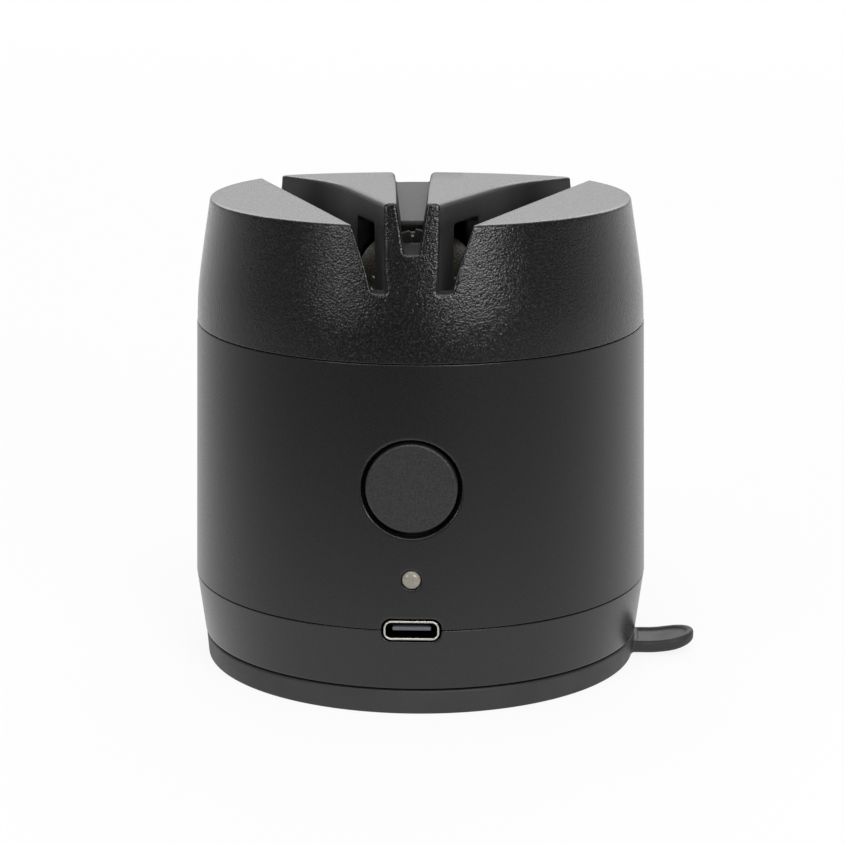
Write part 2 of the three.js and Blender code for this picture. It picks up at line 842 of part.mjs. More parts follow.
const tabTop = tabDrop + tabThickness * 2 + tabCurl + overrun;

function tabBody(width, reach, lift) {
  const root = footTopRadius - tabRoot;
  const bend = tabReach - tabCurlLength;
  const low = tabDrop + lift;
  const side = new THREE.Shape();
  side.moveTo(root, low);
  side.lineTo(bend, low);
  side.quadraticCurveTo(tabReach - tabCurlLength / 2, low, tabReach + overrun, low + tabCurl);
  side.lineTo(tabReach + overrun, low + tabCurl + tabThickness);
  side.quadraticCurveTo(tabReach - tabCurlLength / 2, low + tabThickness, bend, low + tabThickness);
  side.lineTo(root, low + tabThickness);
  const slab = raise(side, -width / 2, width / 2, tabSteps).rotateX(Math.PI / 2);
  const plan = stadium((reach - root) * 2, width);
  return solid(slab).intersect(solid(raise(plan, 0, tabTop).translate(root, 0, 0)));
}

function suctionFoot() {
  const lipInner = footBottomRadius - cupLip;
  const foot = solid(revolve([
    [0, 0],
    [padRadius, 0],
    [padRadius + cupSlope, cupDepth],
    [lipInner - cupSlope, cupDepth],
    [lipInner, 0],
    [footBottomRadius - edgeBreak, 0],
    [footBottomRadius, edgeBreak],
    [footTopRadius, footHeight - edgeBreak],
    [footTopRadius - edgeBreak / 2, footHeight],
    [studRadius, footHeight],
    [studRadius, footHeight + studHeight],
    [0, footHeight + studHeight],
  ], facets.shell));
  const outside = solid(block([lipInner, -tabWidth, 0], [tabReach, tabWidth, tabTop]));
  const tab = tabBody(tabWidth, tabReach, 0).intersect(outside);
  const scoop = tabBody(tabWidth - tabRim * 2, tabReach - tabRim, tabThickness - tabScoop);
  const beyond = solid(block([footTopRadius, -tabWidth, 0], [tabReach, tabWidth, tabTop]));
  return foot.add(tab).subtract(scoop.intersect(beyond));
}

// Cell in its cradle, between two contact strips

function cell() {
  const radius = cellRadius;
  const low = [radius - cellRound, cellBottom + cellRound];
  const high = [radius - cellRound, cellTop - cellRound];
  return revolve([
    [0, cellBottom],
    ...arc(low, cellRound, -Math.PI / 2, 0, bendSteps),
    ...arc(high, cellRound, 0, Math.PI / 2, bendSteps),
    [capRadius, cellTop],
    [capRadius, cellTop + capHeight],
    [0, cellTop + capHeight],
  ]).translate(0, cellY, 0);
}

function cradle() {
  const cup = solid(revolve([
    [0, cradleBottom],
    [cradleOuter, cradleBottom],
    [cradleOuter, cradleBottom + cradleHeight],
    [cradleInner, cradleBottom + cradleHeight],
    [cradleInner, cradleBottom + cradleFloor],
    [0, cradleBottom + cradleFloor],
  ]));
  const mouth = block(
    [-cradleMouth / 2, 0, cradleBottom + cradleFloor + overrun],
    [cradleMouth / 2, cradleOuter + overrun, cradleBottom + cradleHeight + overrun],
  );
  return cup.subtract(solid(mouth));
}

function contact(bottom) {
  const strip = stadium(contactLength, contactWidth);
  return raise(strip, bottom, bottom + contactThickness).rotateZ(Math.PI / 2).translate(0, cellY, 0);
}

// Board behind the front wall; its screws reach into the posts as far as the wall's inner face

const postFront = innerFace(postHeight, postSpread + postRadius);

function mainBoard() {
  const outline = new THREE.Shape();
  const half = boardWidth / 2 - boardCorner;
  const tall = (boardTop - boardBottom) / 2 - boardCorner;
  outline.absarc(half, tall, boardCorner, 0, Math.PI / 2);
  outline.absarc(-half, tall, boardCorner, Math.PI / 2, Math.PI);
  outline.absarc(-half, -tall, boardCorner, Math.PI, (Math.PI * 3) / 2);
  outline.absarc(half, -tall, boardCorner, (Math.PI * 3) / 2, Math.PI * 2);
  const middle = (boardTop + boardBottom) / 2;
  let board = solid(inwards(raise(outline, 0, boardThickness, bendSteps), boardFront, middle));
  for (const side of [-1, 1]) {
    const hole = round(boardScrewRadius + snugGap, 0, boardThickness + overrun * 2, facets.fine);
    const placed = inwards(hole, boardFront - overrun, postHeight, side * postSpread);
    board = board.subtract(solid(placed));
  }
  return board;
}

function boardScrew(side) {
  const length = boardBack + snugGap - postFront - fitGap;
  const body = screw(boardScrewRadius, boardScrewHeadRadius, boardScrewHeadHeight, length);
  const back = boardBack + snugGap + boardScrewHeadHeight;
  return body.rotateX(Math.PI / 2).translate(side * postSpread, back, postHeight);
}

function chip() {
  const top = buttonHeight - collarOuter - chipGap;
  const middle = [chipShift, boardFront - chipHeight / 2 - snugGap, top - chipSize / 2];
  return new THREE.BoxGeometry(chipSize, chipHeight, chipSize).translate(...middle);
}

// Button, guided by a collar, working a small switch through a plunger

const buttonFront = -sleeveRadius(buttonHeight) + buttonInset;
const flangeFront = innerFace(buttonHeight, buttonFlangeRadius) + fitGap;
const collarFront = innerFace(buttonHeight, collarOuter) + fitGap;
const collarBack = boardFront - collarStandOff;
const switchFront = boardFront - snugGap - switchDepth;
const plungerFront = switchFront - plungerLength + buttonTravel + fitGap - snugGap;
const buttonBack = plungerFront - snugGap;

function buttonCap() {
  const face = flangeFront - buttonFront;
  const cap = revolve([
    [0, 0],
    [buttonRadius - buttonChamfer, 0],
    [buttonRadius, buttonChamfer],
    [buttonRadius, face],
    [buttonFlangeRadius, face],
    [buttonFlangeRadius, face + buttonFlange],
    [buttonStemRadius, face + buttonFlange],
    [buttonStemRadius, buttonBack - buttonFront],
    [0, buttonBack - buttonFront],
  ], facets.face);
  return inwards(cap, buttonFront, buttonHeight);
}

function switchPlunger() {
  return inwards(round(plungerRadius, 0, plungerLength, facets.small), plungerFront, buttonHeight);
}

function pressSwitch() {
  const half = switchSize / 2;
  const body = solid(block(
    [-half, switchFront, buttonHeight - half],
    [half, boardFront - snugGap, buttonHeight + half],
  ));
  const depth = plungerFront + plungerLength + buttonTravel + snugGap - switchFront;
  const bore = round(plungerRadius + snugGap, 0, depth + overrun, facets.small);
  return body.subtract(solid(inwards(bore, switchFront - overrun, buttonHeight)));
}

function buttonCollar() {
  const ring = revolve([
    [collarInner, 0],
    [collarOuter, 0],
    [collarOuter, collarBack - collarFront],
    [collarInner, collarBack - collarFront],
  ], facets.part);
  return inwards(ring, collarFront, buttonHeight);
}

// Lamp: a light pipe with a domed end, in front of a diode on the board

const lampFront = -sleeveRadius(lampHeight) - lampProud;
const diodeFront = boardFront - snugGap - diodeHeight;

function lampLens() {
  const flange = innerFace(lampHeight, lampFlangeRadius) + fitGap - lampFront;
  const back = diodeFront - snugGap - lampFront;
  const front = Array.from({ length: bendSteps + 1 }, (unused, i) => {
    const angle = ((Math.PI / 2) * i) / bendSteps;
    return [lampRadius * Math.sin(angle), lampDome * (1 - Math.cos(angle))];
  });
  const pipe = revolve([
    ...front,
    [lampRadius, flange],
    [lampFlangeRadius, flange],
    [lampFlangeRadius, flange + lampFlange],
    [lampRadius, flange + lampFlange],
    [lampRadius, back],
    [0, back],
  ], facets.small);
  return inwards(pipe, lampFront, lampHeight);
}

function lampDiode() {
  const middle = [0, diodeFront + diodeHeight / 2, lampHeight];
  return new THREE.BoxGeometry(diodeSize, diodeHeight, diodeSize).translate(...middle);
}

// Charging socket: a metal shell with round ends, and a moulded core with a tongue

const socketFront = -bodyRadius + socketInset;
const socketBack = boardFront - snugGap;

function socketShell() {
  const outline = stadium(socketWidth, socketThickness);
  outline.holes.push(stadium(socketWidth - socketWall * 2, socketThickness - socketWall * 2));
  return inwards(raise(outline, 0, socketBack - socketFront), socketFront, socketHeight);
}

function socketCore() {
  const gap = (socketWall + snugGap) * 2;
  const plug = raise(stadium(socketWidth - gap, socketThickness - gap), 0, coreDepth);
  const core = solid(inwards(plug, socketBack - coreDepth, socketHeight));
  const tongueHalf = socketWidth / 2 - socketWall - tongueGap;
  const tongue = block(
    [-tongueHalf, socketBack - coreDepth - tongueDepth, socketHeight - tongueThickness / 2],
    [tongueHalf, socketBack - coreDepth / 2, socketHeight + tongueThickness / 2],
  );
  return core.add(solid(tongue));
}

// The assembly

const part = new THREE.Group();

function paint(colour, roughness, metalness = 0) {
  return new THREE.MeshStandardMaterial({ color: colour, roughness, metalness });
}

const grained = () => paint(0x3a3a3c, 0.5);
const blackPlastic = () => paint(0x2c2c2e, 0.6);
const rubber = () => paint(0x333335, 0.85);
const steel = () => paint(0xb9bbbd, 0.35, 1);
const zinc = () => paint(0x9a9ca0, 0.4, 1);
const brass = () => paint(0xb08d4c, 0.35, 1);

function place(name, form, material, group = part) {
  let geometry = form;
  if (!form.isBufferGeometry) {
    const data = form.getMesh();
    geometry = new THREE.BufferGeometry();
    geometry.setAttribute("position", new THREE.BufferAttribute(data.vertProperties, data.numProp));
    geometry.setIndex(new THREE.BufferAttribute(data.triVerts, 1));
    geometry.computeVertexNormals();
  }
  const mesh = new THREE.Mesh(geometry, material);
  mesh.name = name;
  group.add(mesh);
  return mesh;
}

place("suction_foot", suctionFoot(), rubber());
place("base_shell", baseShell(), grained());
place("body_sleeve", bodySleeve(), grained());
place("head_housing", headHousing(), grained());
place("motor_bracket", motorBracket(), blackPlastic());

const drive = new THREE.Group();
drive.position.y = wheelY;
part.add(drive);
place("motor_can", motorCan(), zinc(), drive);
place("motor_end_cap", motorEndCap(), blackPlastic(), drive);
place("motor_terminal_left", terminal(-1, 0), brass(), drive);
place("motor_terminal_right", terminal(1, 0), brass(), drive);
place("motor_shaft", motorShaft(), steel(), drive);
place("wheel_hub", wheelHub(), brass(), drive);
place("grinding_wheel", grindingWheel(), paint(0x8d7f66, 0.7, 0.4), drive);
place("wheel_nut", wheelNut(), steel(), drive);
for (const [side, name] of [[-1, "motor_screw_left"], [1, "motor_screw_right"]]) {
  const body = screw(motorScrewRadius, motorScrewHeadRadius, motorScrewHeadHeight, motorScrewLength - fitGap);
  const top = bracketTop + snugGap + motorScrewHeadHeight;
  place(name, body.rotateX(Math.PI).translate(side * motorScrewSpread, 0, top), steel(), drive);
}

place("finishing_plate_left", finishingPlate(-1, 0), paint(0x6a6862, 0.5));
place("finishing_plate_right", finishingPlate(1, 0), paint(0x6a6862, 0.5));

place("battery_cell", cell(), paint(0x3b6fae, 0.45));
place("battery_cradle", cradle().translate([0, cellY, 0]), blackPlastic());
place("battery_contact_top", contact(cellTop + capHeight + snugGap), steel());
place("battery_contact_bottom", contact(contactBottom), steel());

place("main_board", mainBoard(), paint(0x1f5a38, 0.5));
place("charge_chip", chip(), paint(0x1b1b1d, 0.5));
place("press_switch", pressSwitch(), paint(0x26262a, 0.5));
place("switch_plunger", switchPlunger(), paint(0xd8d4c8, 0.5));
place("button_cap", buttonCap(), paint(0x404042, 0.45));
place("button_collar", buttonCollar(), blackPlastic());
place("lamp_lens", lampLens(), paint(0xb0aa9e, 0.3));
place("lamp_diode", lampDiode(), paint(0xf0e8c8, 0.4));
place("usb_shell", socketShell(), paint(0xd6d2cc, 0.25, 1));
place("usb_tongue", socketCore(), paint(0x1a1a1c, 0.5));

baseScrewAngles.forEach((angle, i) => {
  const [x, y] = around(baseScrewRing, angle);
  const bottom = baseBottom + screwWellDepth - fitGap - screwHeadHeight;
  const body = screw(screwRadius, screwHeadRadius, screwHeadHeight, baseScrewLength);
  place(`base_screw_${i + 1}`, body.translate(x, y, bottom), zinc());
});
bracketScrewAngles.forEach((angle, i) => {
  const [x, y] = around(bracketScrewRing, angle);
  const bottom = bracketBottom - snugGap - screwHeadHeight;
  const body = screw(screwRadius, screwHeadRadius, screwHeadHeight, bracketScrewLength - fitGap);
  place(`bracket_screw_${i + 1}`, body.translate(x, y, bottom), zinc());
});
place("board_screw_left", boardScrew(-1), zinc());
place("board_screw_right", boardScrew(1), zinc());

export default part;
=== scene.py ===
import math

import bmesh
import bpy
import numpy as np
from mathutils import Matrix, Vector


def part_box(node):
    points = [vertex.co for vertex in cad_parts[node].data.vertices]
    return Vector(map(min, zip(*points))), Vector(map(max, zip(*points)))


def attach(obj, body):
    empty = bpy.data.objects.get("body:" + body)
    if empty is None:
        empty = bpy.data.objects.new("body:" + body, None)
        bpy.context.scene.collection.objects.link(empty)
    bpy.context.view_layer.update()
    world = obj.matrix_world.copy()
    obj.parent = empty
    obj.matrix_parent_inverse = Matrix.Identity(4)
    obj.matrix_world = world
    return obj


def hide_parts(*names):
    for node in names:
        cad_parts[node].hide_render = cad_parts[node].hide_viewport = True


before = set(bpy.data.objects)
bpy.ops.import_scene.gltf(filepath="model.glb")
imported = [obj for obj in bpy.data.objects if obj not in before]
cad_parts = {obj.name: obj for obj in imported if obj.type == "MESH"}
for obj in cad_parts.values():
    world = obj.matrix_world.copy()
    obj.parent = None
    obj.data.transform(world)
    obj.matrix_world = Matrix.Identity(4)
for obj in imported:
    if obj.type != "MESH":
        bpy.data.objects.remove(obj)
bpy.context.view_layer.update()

MM = 0.001

# -------- camera

CAMERA_TURN = math.radians(2.21)
CAMERA_TILT = 0.24026
CAMERA_SIDESTEP = 0.33
CAMERA_PLACE = (19.75, -514.07, 165.76)
CAMERA_LENS, CAMERA_SENSOR = 132.85, 36.0


def placed(name, data):
    """A new object in the scene."""
    obj = bpy.data.objects.new(name, data)
    bpy.context.scene.collection.objects.link(obj)
    return obj


def make_camera():
    data = bpy.data.cameras.new("camera")
    data.lens = CAMERA_LENS
    data.sensor_width = CAMERA_SENSOR
    data.clip_start = 0.01
    data.clip_end = 100.0
    camera = placed("camera", data)
    x, y, z = CAMERA_PLACE
    camera.location = (
        (x + CAMERA_SIDESTEP * math.cos(CAMERA_TURN)) * MM,
        (y + CAMERA_SIDESTEP * math.sin(CAMERA_TURN)) * MM,
        z * MM,
    )
    camera.rotation_euler = (math.pi / 2 - CAMERA_TILT, 0, CAMERA_TURN)
    bpy.context.scene.camera = camera


make_camera()

# -------- sizes, in millimetres, as in the solids

# Foot and its pull tab
FOOT_BOTTOM_R, FOOT_TOP_R, FOOT_H = 36.48, 36.83, 4.1
FOOT_EDGE, FOOT_BOTTOM_EDGE = 0.4, 0.3
FOOT_PAD_R, FOOT_RING_R, FOOT_HOLLOW, FOOT_FLARE = 11.0, 33.2, 1.3, 1.8
FOOT_STUD_R, FOOT_STUD_Z0, FOOT_STUD_Z1 = 3.2, 3.0, 6.1
RING_SIDE_EDGE, RING_ROOF_EDGE, RING_MOUTH_EDGE = 0.5, 0.4, 0.2
TAB_REACH, TAB_HALF, TAB_THICK, TAB_Z, TAB_CURL = 47.03, 4.5, 2.1, 0.4, 2.05
TAB_ROOT, TAB_CURL_LENGTH, TAB_EDGE, TAB_FILLET = 33.5, 8.0, 0.7, 0.5
RECESS_ROOT, RECESS_RIM, RECESS_DEPTH, RECESS_EDGE = 37.6, 1.35, 0.38, 0.6

# Base, sleeve and their seams
BASE_BOTTOM_R, BASE_TOP_R, BASE_Z0, BASE_Z1 = 36.93, 38.28, 4.4, 14.48
SPIGOT_INNER_R, SPIGOT_OUTER_R, SPIGOT_Z0, SPIGOT_H = 34.23, 35.83, 12.0, 3.2
BASE_HOLE_R, BASE_EDGE = 3.5, 0.2
SLEEVE_BOTTOM_R, SLEEVE_TOP_R, SLEEVE_Z0, SLEEVE_Z1 = 38.33, 37.58, 14.78, 57.95
WALL, WALL_EDGE = 2.2, 0.2
SEAM_LIP, SEAM_EDGE, SEAM_TOP_EDGE = 0.09, 0.12, 0.1
# The distance to an opening from the half of the body that doesn't have it: anywhere well outside
NOT_HERE = 5.0

# Head: outer cone, side slots, raised middle part, V slot
SKIRT_R, SKIRT_TOP, HEAD_Z0, HEAD_TOP, HEAD_TOP_R = 37.53, 62.95, 58.25, 78.72, 35.03
CONE_SLOPE = (SKIRT_R - HEAD_TOP_R) / (HEAD_TOP - SKIRT_TOP)
CONE_SWELL, CONE_BLEND = 0.1, 4.0
HEAD_TILT = math.radians(1.63)
SLOT_FLOOR, SLOT_DIP, LIP_INSIDE, LIP_FADE = 69.45, 2.0, 34.8, 0.6
SLOT_EDGE = 21.2
SLOT_PLAN = math.radians(19.6)
SLOT_LEAN = math.radians(13.6)
MIDDLE_TOP = 80.2
MIDDLE_TILT = math.radians(5.14)
FINISH_FLOOR, FINISH_RISE = 75.35, 9.0
FINISH_SHIFT = (0.12, -2.85)
FINISH_LOW = (1.12, 3.15)
FINISH_HIGH = (2.54, 4.1)
WINDOW_FRONT, WINDOW_BACK, WINDOW_DROP, WINDOW_EDGE = -25.43, -10.43, 4.1, 0.8
WINDOW_DEPTH, WINDOW_REACH, WINDOW_SILL, WINDOW_ROOF_EDGE, WINDOW_MOUTH_EDGE = 1.0, 1.7, 0.05, 0.5, 0.2
WELL_FRONT, WELL_BACK, WELL_HALF, WELL_RISE = -24.53, -5.93, 5.0, 0.15
WELL_EDGE, WELL_MOUTH_EDGE = 0.5, 1.0
POST_ANGLES, POST_PLACE_R, POST_R, POST_HOLE_R = (-12, 192, 62), 28.38, 3.1, 1.45
POST_LIFT, POST_HOLE_H, POST_COVER = 1.3, 10.0, 1.0
PLATE_W, PLATE_T, PLATE_LOW, PLATE_HIGH = 2.0, 1.4, -0.6, 1.8
PLATE_LEAN = math.radians(16)
PLATE_GAP, PLATE_SINK, PLATE_ROOM, PLATE_SOFT = 0.3, 0.1, 0.25, 0.15
# Edge radii of the head at its front; what they gain towards the back, and between which y
SLOT_SOFT, WING_SOFT = 0.6, 0.3
FLOOR_SOFT, FLOOR_GAIN = 0.2, 0.5
MIDDLE_SOFT, MIDDLE_GAIN, MIDDLE_CHANGE = 0.9, -0.4, (5.0, 20.0)
V_SOFT, V_GAIN, V_CHANGE = 0.3, 0.5, (-20.0, 20.0)
RIM_SOFT, RIM_GAIN, RIM_CHANGE = 0.42, 0.9, (24.0, 33.0)
# What the rim's radius gains downwards, and between which z
LOW_RIM_GAIN, LOW_RIM_TOP, LOW_RIM_BOTTOM = 0.4, 73.0, 70.0

# Grinding wheel
WHEEL_Y, WHEEL_R, WHEEL_TOP_R, WHEEL_Z0, WHEEL_Z1, WHEEL_RIM = -14.43, 10.4, 4.6, 62.8, 74.32, 64.8
WHEEL_BORE_R, WHEEL_SEAT_R, WHEEL_SEAT_DEPTH, WHEEL_EDGE, WHEEL_SEAT_EDGE = 3.15, 3.7, 1.7, 0.3, 0.2
WHEEL_GAP = 0.7
NUT_R, NUT_FACE_R, NUT_BORE_R, NUT_EDGE = 3.0, 2.75, 1.3, 0.2

# Button, lamp and charging socket
BUTTON_Z, BUTTON_R, BUTTON_OPENING_R, BUTTON_FRONT = 37.93, 7.35, 8.05, -37.58
BUTTON_SKIRT, BUTTON_FLANGE_R, BUTTON_FLANGE_T, BUTTON_EDGE = 3.3, 8.9, 1.0, 0.45
BUTTON_BACK, BUTTON_BACK_R, BUTTON_SOFT, BUTTON_HOLE_EDGE = 3.95, 2.4, 0.2, 0.16
LAMP_Z, LAMP_R, LAMP_FRONT, LAMP_GAP, LAMP_DOME = 23.03, 1.5, -38.53, 0.12, 0.7
LAMP_FLANGE, LAMP_FLANGE_R, LAMP_LENGTH, LAMP_HOLE_EDGE = (2.9, 3.9), 2.3, 7.0, 0.15
SOCKET_Z, SOCKET_W, SOCKET_H, SOCKET_WALL = 14.63, 8.94, 3.2, 0.33
SOCKET_FRONT, SOCKET_GAP, SOCKET_CORNER, SOCKET_DEPTH = -38.08, 0.34, 1.25, 7.4
SOCKET_LIP, SOCKET_HOLE_EDGE = 0.12, 0.25
CORE_DEPTH, CORE_EDGE = 2.6, 0.3
BLADE_HALF_W, BLADE_HALF_T, BLADE_GAP, BLADE_EDGE = 3.1, 0.33, 0.1, 0.15

# Plan of the middle part's side wall, in shares of the head's top radius
WALL_CURVE = [
    (0.122, -1.12), (0.128, -0.97), (0.197, -0.66), (0.284, -0.29), (0.376, 0.085),
    (0.462, 0.3), (0.58, 0.49), (0.716, 0.69), (0.86, 0.89),
]

# -------- shapes from distance fields


def both(a, b, r):
    """Where two shapes overlap, with an edge of radius r."""
    inner = np.minimum(np.maximum(a, b), -r)
    return inner + np.hypot(np.maximum(a + r, 0), np.maximum(b + r, 0))


def either(a, b, r):
    """Two shapes joined, with a fillet of radius r."""
    outer = np.maximum(np.minimum(a, b), r)
    return outer - np.hypot(np.maximum(r - a, 0), np.maximum(r - b, 0))


def soft_step(value, low, high):
    t = np.clip((value - low) / (high - low), 0, 1)
    return t * t * (3 - 2 * t)


def stops(*parts):
    """Grid lines from (start, end, spacing) runs that follow each other."""
    lines = []
    for start, end, spacing in parts:
        count = max(1, round((end - start) / spacing))
        lines += list(np.linspace(start, end, count, endpoint=False))
    return np.array(lines + [parts[-1][1]])


def upright(u, v, w):
    return u, v, w


def round_the_axis(u, v, w):
    """Turn angle (0 at the front), radius and height to x, y and z."""
    return v * np.sin(u), -v * np.cos(u), w


CORNERS = [(i, j, k) for i in (0, 1) for j in (0, 1) for k in (0, 1)]
EDGES = [
    (a, b) for a in CORNERS for b in CORNERS
    if a < b and sum(abs(p - q) for p, q in zip(a, b)) == 1
]


def cell_points(values, axes):
    """The grid cells that the zero level passes, and the middle of its crossings with their edges."""
    below = values < 0
    cells = tuple(n - 1 for n in values.shape)
    count = np.zeros(cells, np.int8)
    for i, j, k in CORNERS:
        count += below[i:i + cells[0], j:j + cells[1], k:k + cells[2]]
    at = np.argwhere((count > 0) & (count < 8))
    total = np.zeros((len(at), 3))
    hits = np.zeros(len(at))
    for a, b in EDGES:
        pa, pb = at + a, at + b
        fa, fb = values[tuple(pa.T)].astype(float), values[tuple(pb.T)].astype(float)
        crossed = (fa < 0) != (fb < 0)
        t = np.where(crossed, fa / np.where(crossed, fa - fb, 1), 0)
        for n in range(3):
            low, high = axes[n][pa[:, n]], axes[n][pb[:, n]]
            total[:, n] += np.where(crossed, low + (high - low) * t, 0)
        hits += crossed
    return at, total / hits[:, None]


def cell_faces(below, at, wraps):
    """A face for each grid edge that the zero level crosses, between the four cells round that edge."""
    cells = tuple(n - 1 for n in below.shape)
    index = np.full(cells, -1, np.int64)
    index[tuple(at.T)] = np.arange(len(at))
    quads = []
    for axis in range(3):
        o1, o2 = [n for n in range(3) if n != axis]
        lead, lag = [slice(None)] * 3, [slice(None)] * 3
        lead[axis], lag[axis] = slice(1, None), slice(None, -1)
        e = np.argwhere(below[tuple(lag)] != below[tuple(lead)])
        keep = (e[:, o1] < cells[o1]) & (e[:, o2] > 0) & (e[:, o2] < cells[o2])
        if not (wraps and o1 == 0):
            keep &= e[:, o1] > 0
        e = e[keep]
        ring = []
        for d1, d2 in ((1, 1), (0, 1), (0, 0), (1, 0)):
            c = e.copy()
            c[:, o1] -= d1
            c[:, o2] -= d2
            if wraps:
                c[:, 0] %= cells[0]
            ring.append(index[tuple(c.T)])
        ring = np.stack(ring, 1)
        starts_in = below[tuple(e.T)]
        backwards = starts_in if axis == 1 else ~starts_in
        ring[backwards] = ring[backwards][:, ::-1]
        quads.append(ring)
    return np.concatenate(quads)


def net(field, grids, place=upright, wraps=False):
    """A closed mesh on the zero level of a field: one vertex in each grid cell that it passes."""
    us, vs, ws = grids
    if wraps:
        us = np.append(us, us[0] + 2 * math.pi)
    axes = (us, vs, ws)
    x, y, z = place(us[:, None, None], vs[None, :, None], ws[None, None, :])
    values = np.broadcast_to(field(x, y, z), tuple(map(len, axes))).astype(np.float32)
    at, middles = cell_points(values, axes)
    points = np.stack(place(*middles.T), 1)
    return settle(field, points, min(np.diff(a).min() for a in axes)), cell_faces(values < 0, at, wraps)


def settle(field, points, spacing):
    """Moves points onto the zero level along the slope of the field, in three short steps."""
    small, flattest, longest = 0.004, 0.2, 2.0 * spacing
    for _ in range(3):
        x, y, z = points.T
        here = field(x, y, z)
        slope = np.stack([
            field(x + small, y, z) - here,
            field(x, y + small, z) - here,
            field(x, y, z + small) - here,
        ], 1) / small
        step = -(here / np.maximum((slope ** 2).sum(1), flattest))[:, None] * slope
        length = np.linalg.norm(step, axis=1, keepdims=True)
        points = points + step * np.minimum(1, longest / np.maximum(length, 1e-9))
    return points


def smooth_shading(mesh):
    mesh.polygons.foreach_set("use_smooth", [True] * len(mesh.polygons))


def mesh_object(name, points, faces):
    mesh = bpy.data.meshes.new(name)
    mesh.from_pydata((np.asarray(points) * MM).tolist(), [], [list(map(int, f)) for f in faces])
    mesh.validate()
    mesh.update()
    smooth_shading(mesh)
    return placed(name, mesh)


def tidy_mesh(obj):
    """Closes any small opening and turns all faces outwards."""
    work = bmesh.new()
    work.from_mesh(obj.data)
    open_edges = [e for e in work.edges if len(e.link_faces) == 1]
    if open_edges:
        bmesh.ops.holes_fill(work, edges=open_edges, sides=0)
    bmesh.ops.recalc_face_normals(work, faces=work.faces)
    work.to_mesh(obj.data)
    work.free()


def apply_all(obj):
    """Turns the object's modifiers into plain mesh."""
    depsgraph = bpy.context.evaluated_depsgraph_get()
    flat = bpy.data.meshes.new_from_object(obj.evaluated_get(depsgraph))
    obj.modifiers.clear()
    obj.data = flat


def thin(obj, share):
    """Fewer faces, most of them kept where the shape bends."""
    fewer = obj.modifiers.new("fewer", "DECIMATE")
    fewer.ratio = share
    apply_all(obj)


def even_shading(obj):
    """Flat areas keep their own shading beside small rounded edges."""
    smooth_shading(obj.data)
    weigh = obj.modifiers.new("weigh", "WEIGHTED_NORMAL")
    weigh.weight = 90
    weigh.keep_sharp = False
    apply_all(obj)


# -------- fields of the shells


def wall_line():
    """The inner slot wall's x at each y, in plan, from the same smooth curve as the solids."""
    samples, overrun, evened = 161, 40, 9
    knots = np.array(WALL_CURVE) * HEAD_TOP_R
    rows = []
    last = len(knots) - 1
    for t in np.linspace(0, last, samples):
        i = min(int(t), last - 1)
        s = t - i
        p0, p1, p2, p3 = (knots[max(0, min(last, i + d))] for d in (-1, 0, 1, 2))
        v0, v1 = (p2 - p0) / 2, (p3 - p1) / 2
        cubic, square = 2 * p1 - 2 * p2 + v0 + v1, -3 * p1 + 3 * p2 - 2 * v0 - v1
        rows.append(cubic * s ** 3 + square * s ** 2 + v0 * s + p1)
    before = rows[0] + (rows[0] - rows[1]) * overrun
    after = rows[-1] + (rows[-1] - rows[-2]) * overrun
    rows = np.vstack([before, *rows, after])
    ys = np.linspace(-60, 60, 601)
    xs = np.interp(ys, rows[:, 1], rows[:, 0])
    smooth = np.convolve(np.pad(xs, evened // 2, mode="edge"), np.ones(evened) / evened, mode="valid")
    return ys, smooth, np.gradient(smooth, ys)


WALL_YS, WALL_XS, WALL_SLOPE = wall_line()


def inner_wall(x, y):
    """Distance outwards from the middle part's side wall."""
    across = np.interp(y, WALL_YS, WALL_XS)
    lean = np.interp(y, WALL_YS, WALL_SLOPE)
    return (np.abs(x) - across) / np.sqrt(1 + lean * lean)


def outer_wall(x, y, z):
    """Distance outwards from the leaning wall of the side slot."""
    along = math.tan(SLOT_PLAN)
    up = math.tan(SLOT_LEAN) / math.cos(SLOT_PLAN)
    gap = np.abs(x) - (SLOT_EDGE + y * along + (z - HEAD_TOP) * up)
    return gap / math.sqrt(1 + along * along + up * up)


def cone(radius, z):
    """Distance outwards from the head's skirt and cone, which blend into each other."""
    above = z - SKIRT_TOP
    rise = (above + np.hypot(above, CONE_BLEND)) / 2
    return (radius - SKIRT_R - CONE_SWELL + rise * CONE_SLOPE) / math.hypot(1, CONE_SLOPE)


def mixed(pair, share):
    return pair[0] + (pair[1] - pair[0]) * share


def finish_slot(x, y, z):
    """The V slot, wider and further to the left towards the back."""
    overrun, slant, edge = 3.0, 1.01, 0.35
    share = (y + HEAD_TOP_R + overrun) / (2 * (HEAD_TOP_R + overrun))
    low, high = mixed(FINISH_LOW, share), mixed(FINISH_HIGH, share)
    half = low + (high - low) * (z - FINISH_FLOOR) / FINISH_RISE
    side = (np.abs(x - mixed(FINISH_SHIFT, share)) - half) / slant
    return both(side, FINISH_FLOOR - z, edge)


def wheel_room(x, y, z):
    """The wheel's domed shape with room all round, open downwards."""
    around = np.hypot(x, y - WHEEL_Y)
    radius, shoulder = WHEEL_R + WHEEL_GAP, WHEEL_TOP_R + WHEEL_GAP
    top, rim = WHEEL_Z1 + WHEEL_GAP, WHEEL_RIM + WHEEL_GAP
    u = np.maximum(around - shoulder, 0) / (radius - shoulder)
    w = np.maximum(z - rim, 0) / (top - rim)
    size = np.sqrt(u * u + w * w)
    domed = (size - 1) * (radius - shoulder)
    return np.maximum(np.maximum(domed, z - top), HEAD_Z0 - 1 - z)


def plate_place(side):
    """A finishing plate's front, its shift in x and its lean; the right one stands behind the left."""
    front = WELL_FRONT + PLATE_GAP + (PLATE_T + PLATE_GAP if side > 0 else 0)
    return front, mixed(FINISH_SHIFT, (front + HEAD_TOP_R) / (2 * HEAD_TOP_R)), side * PLATE_LEAN


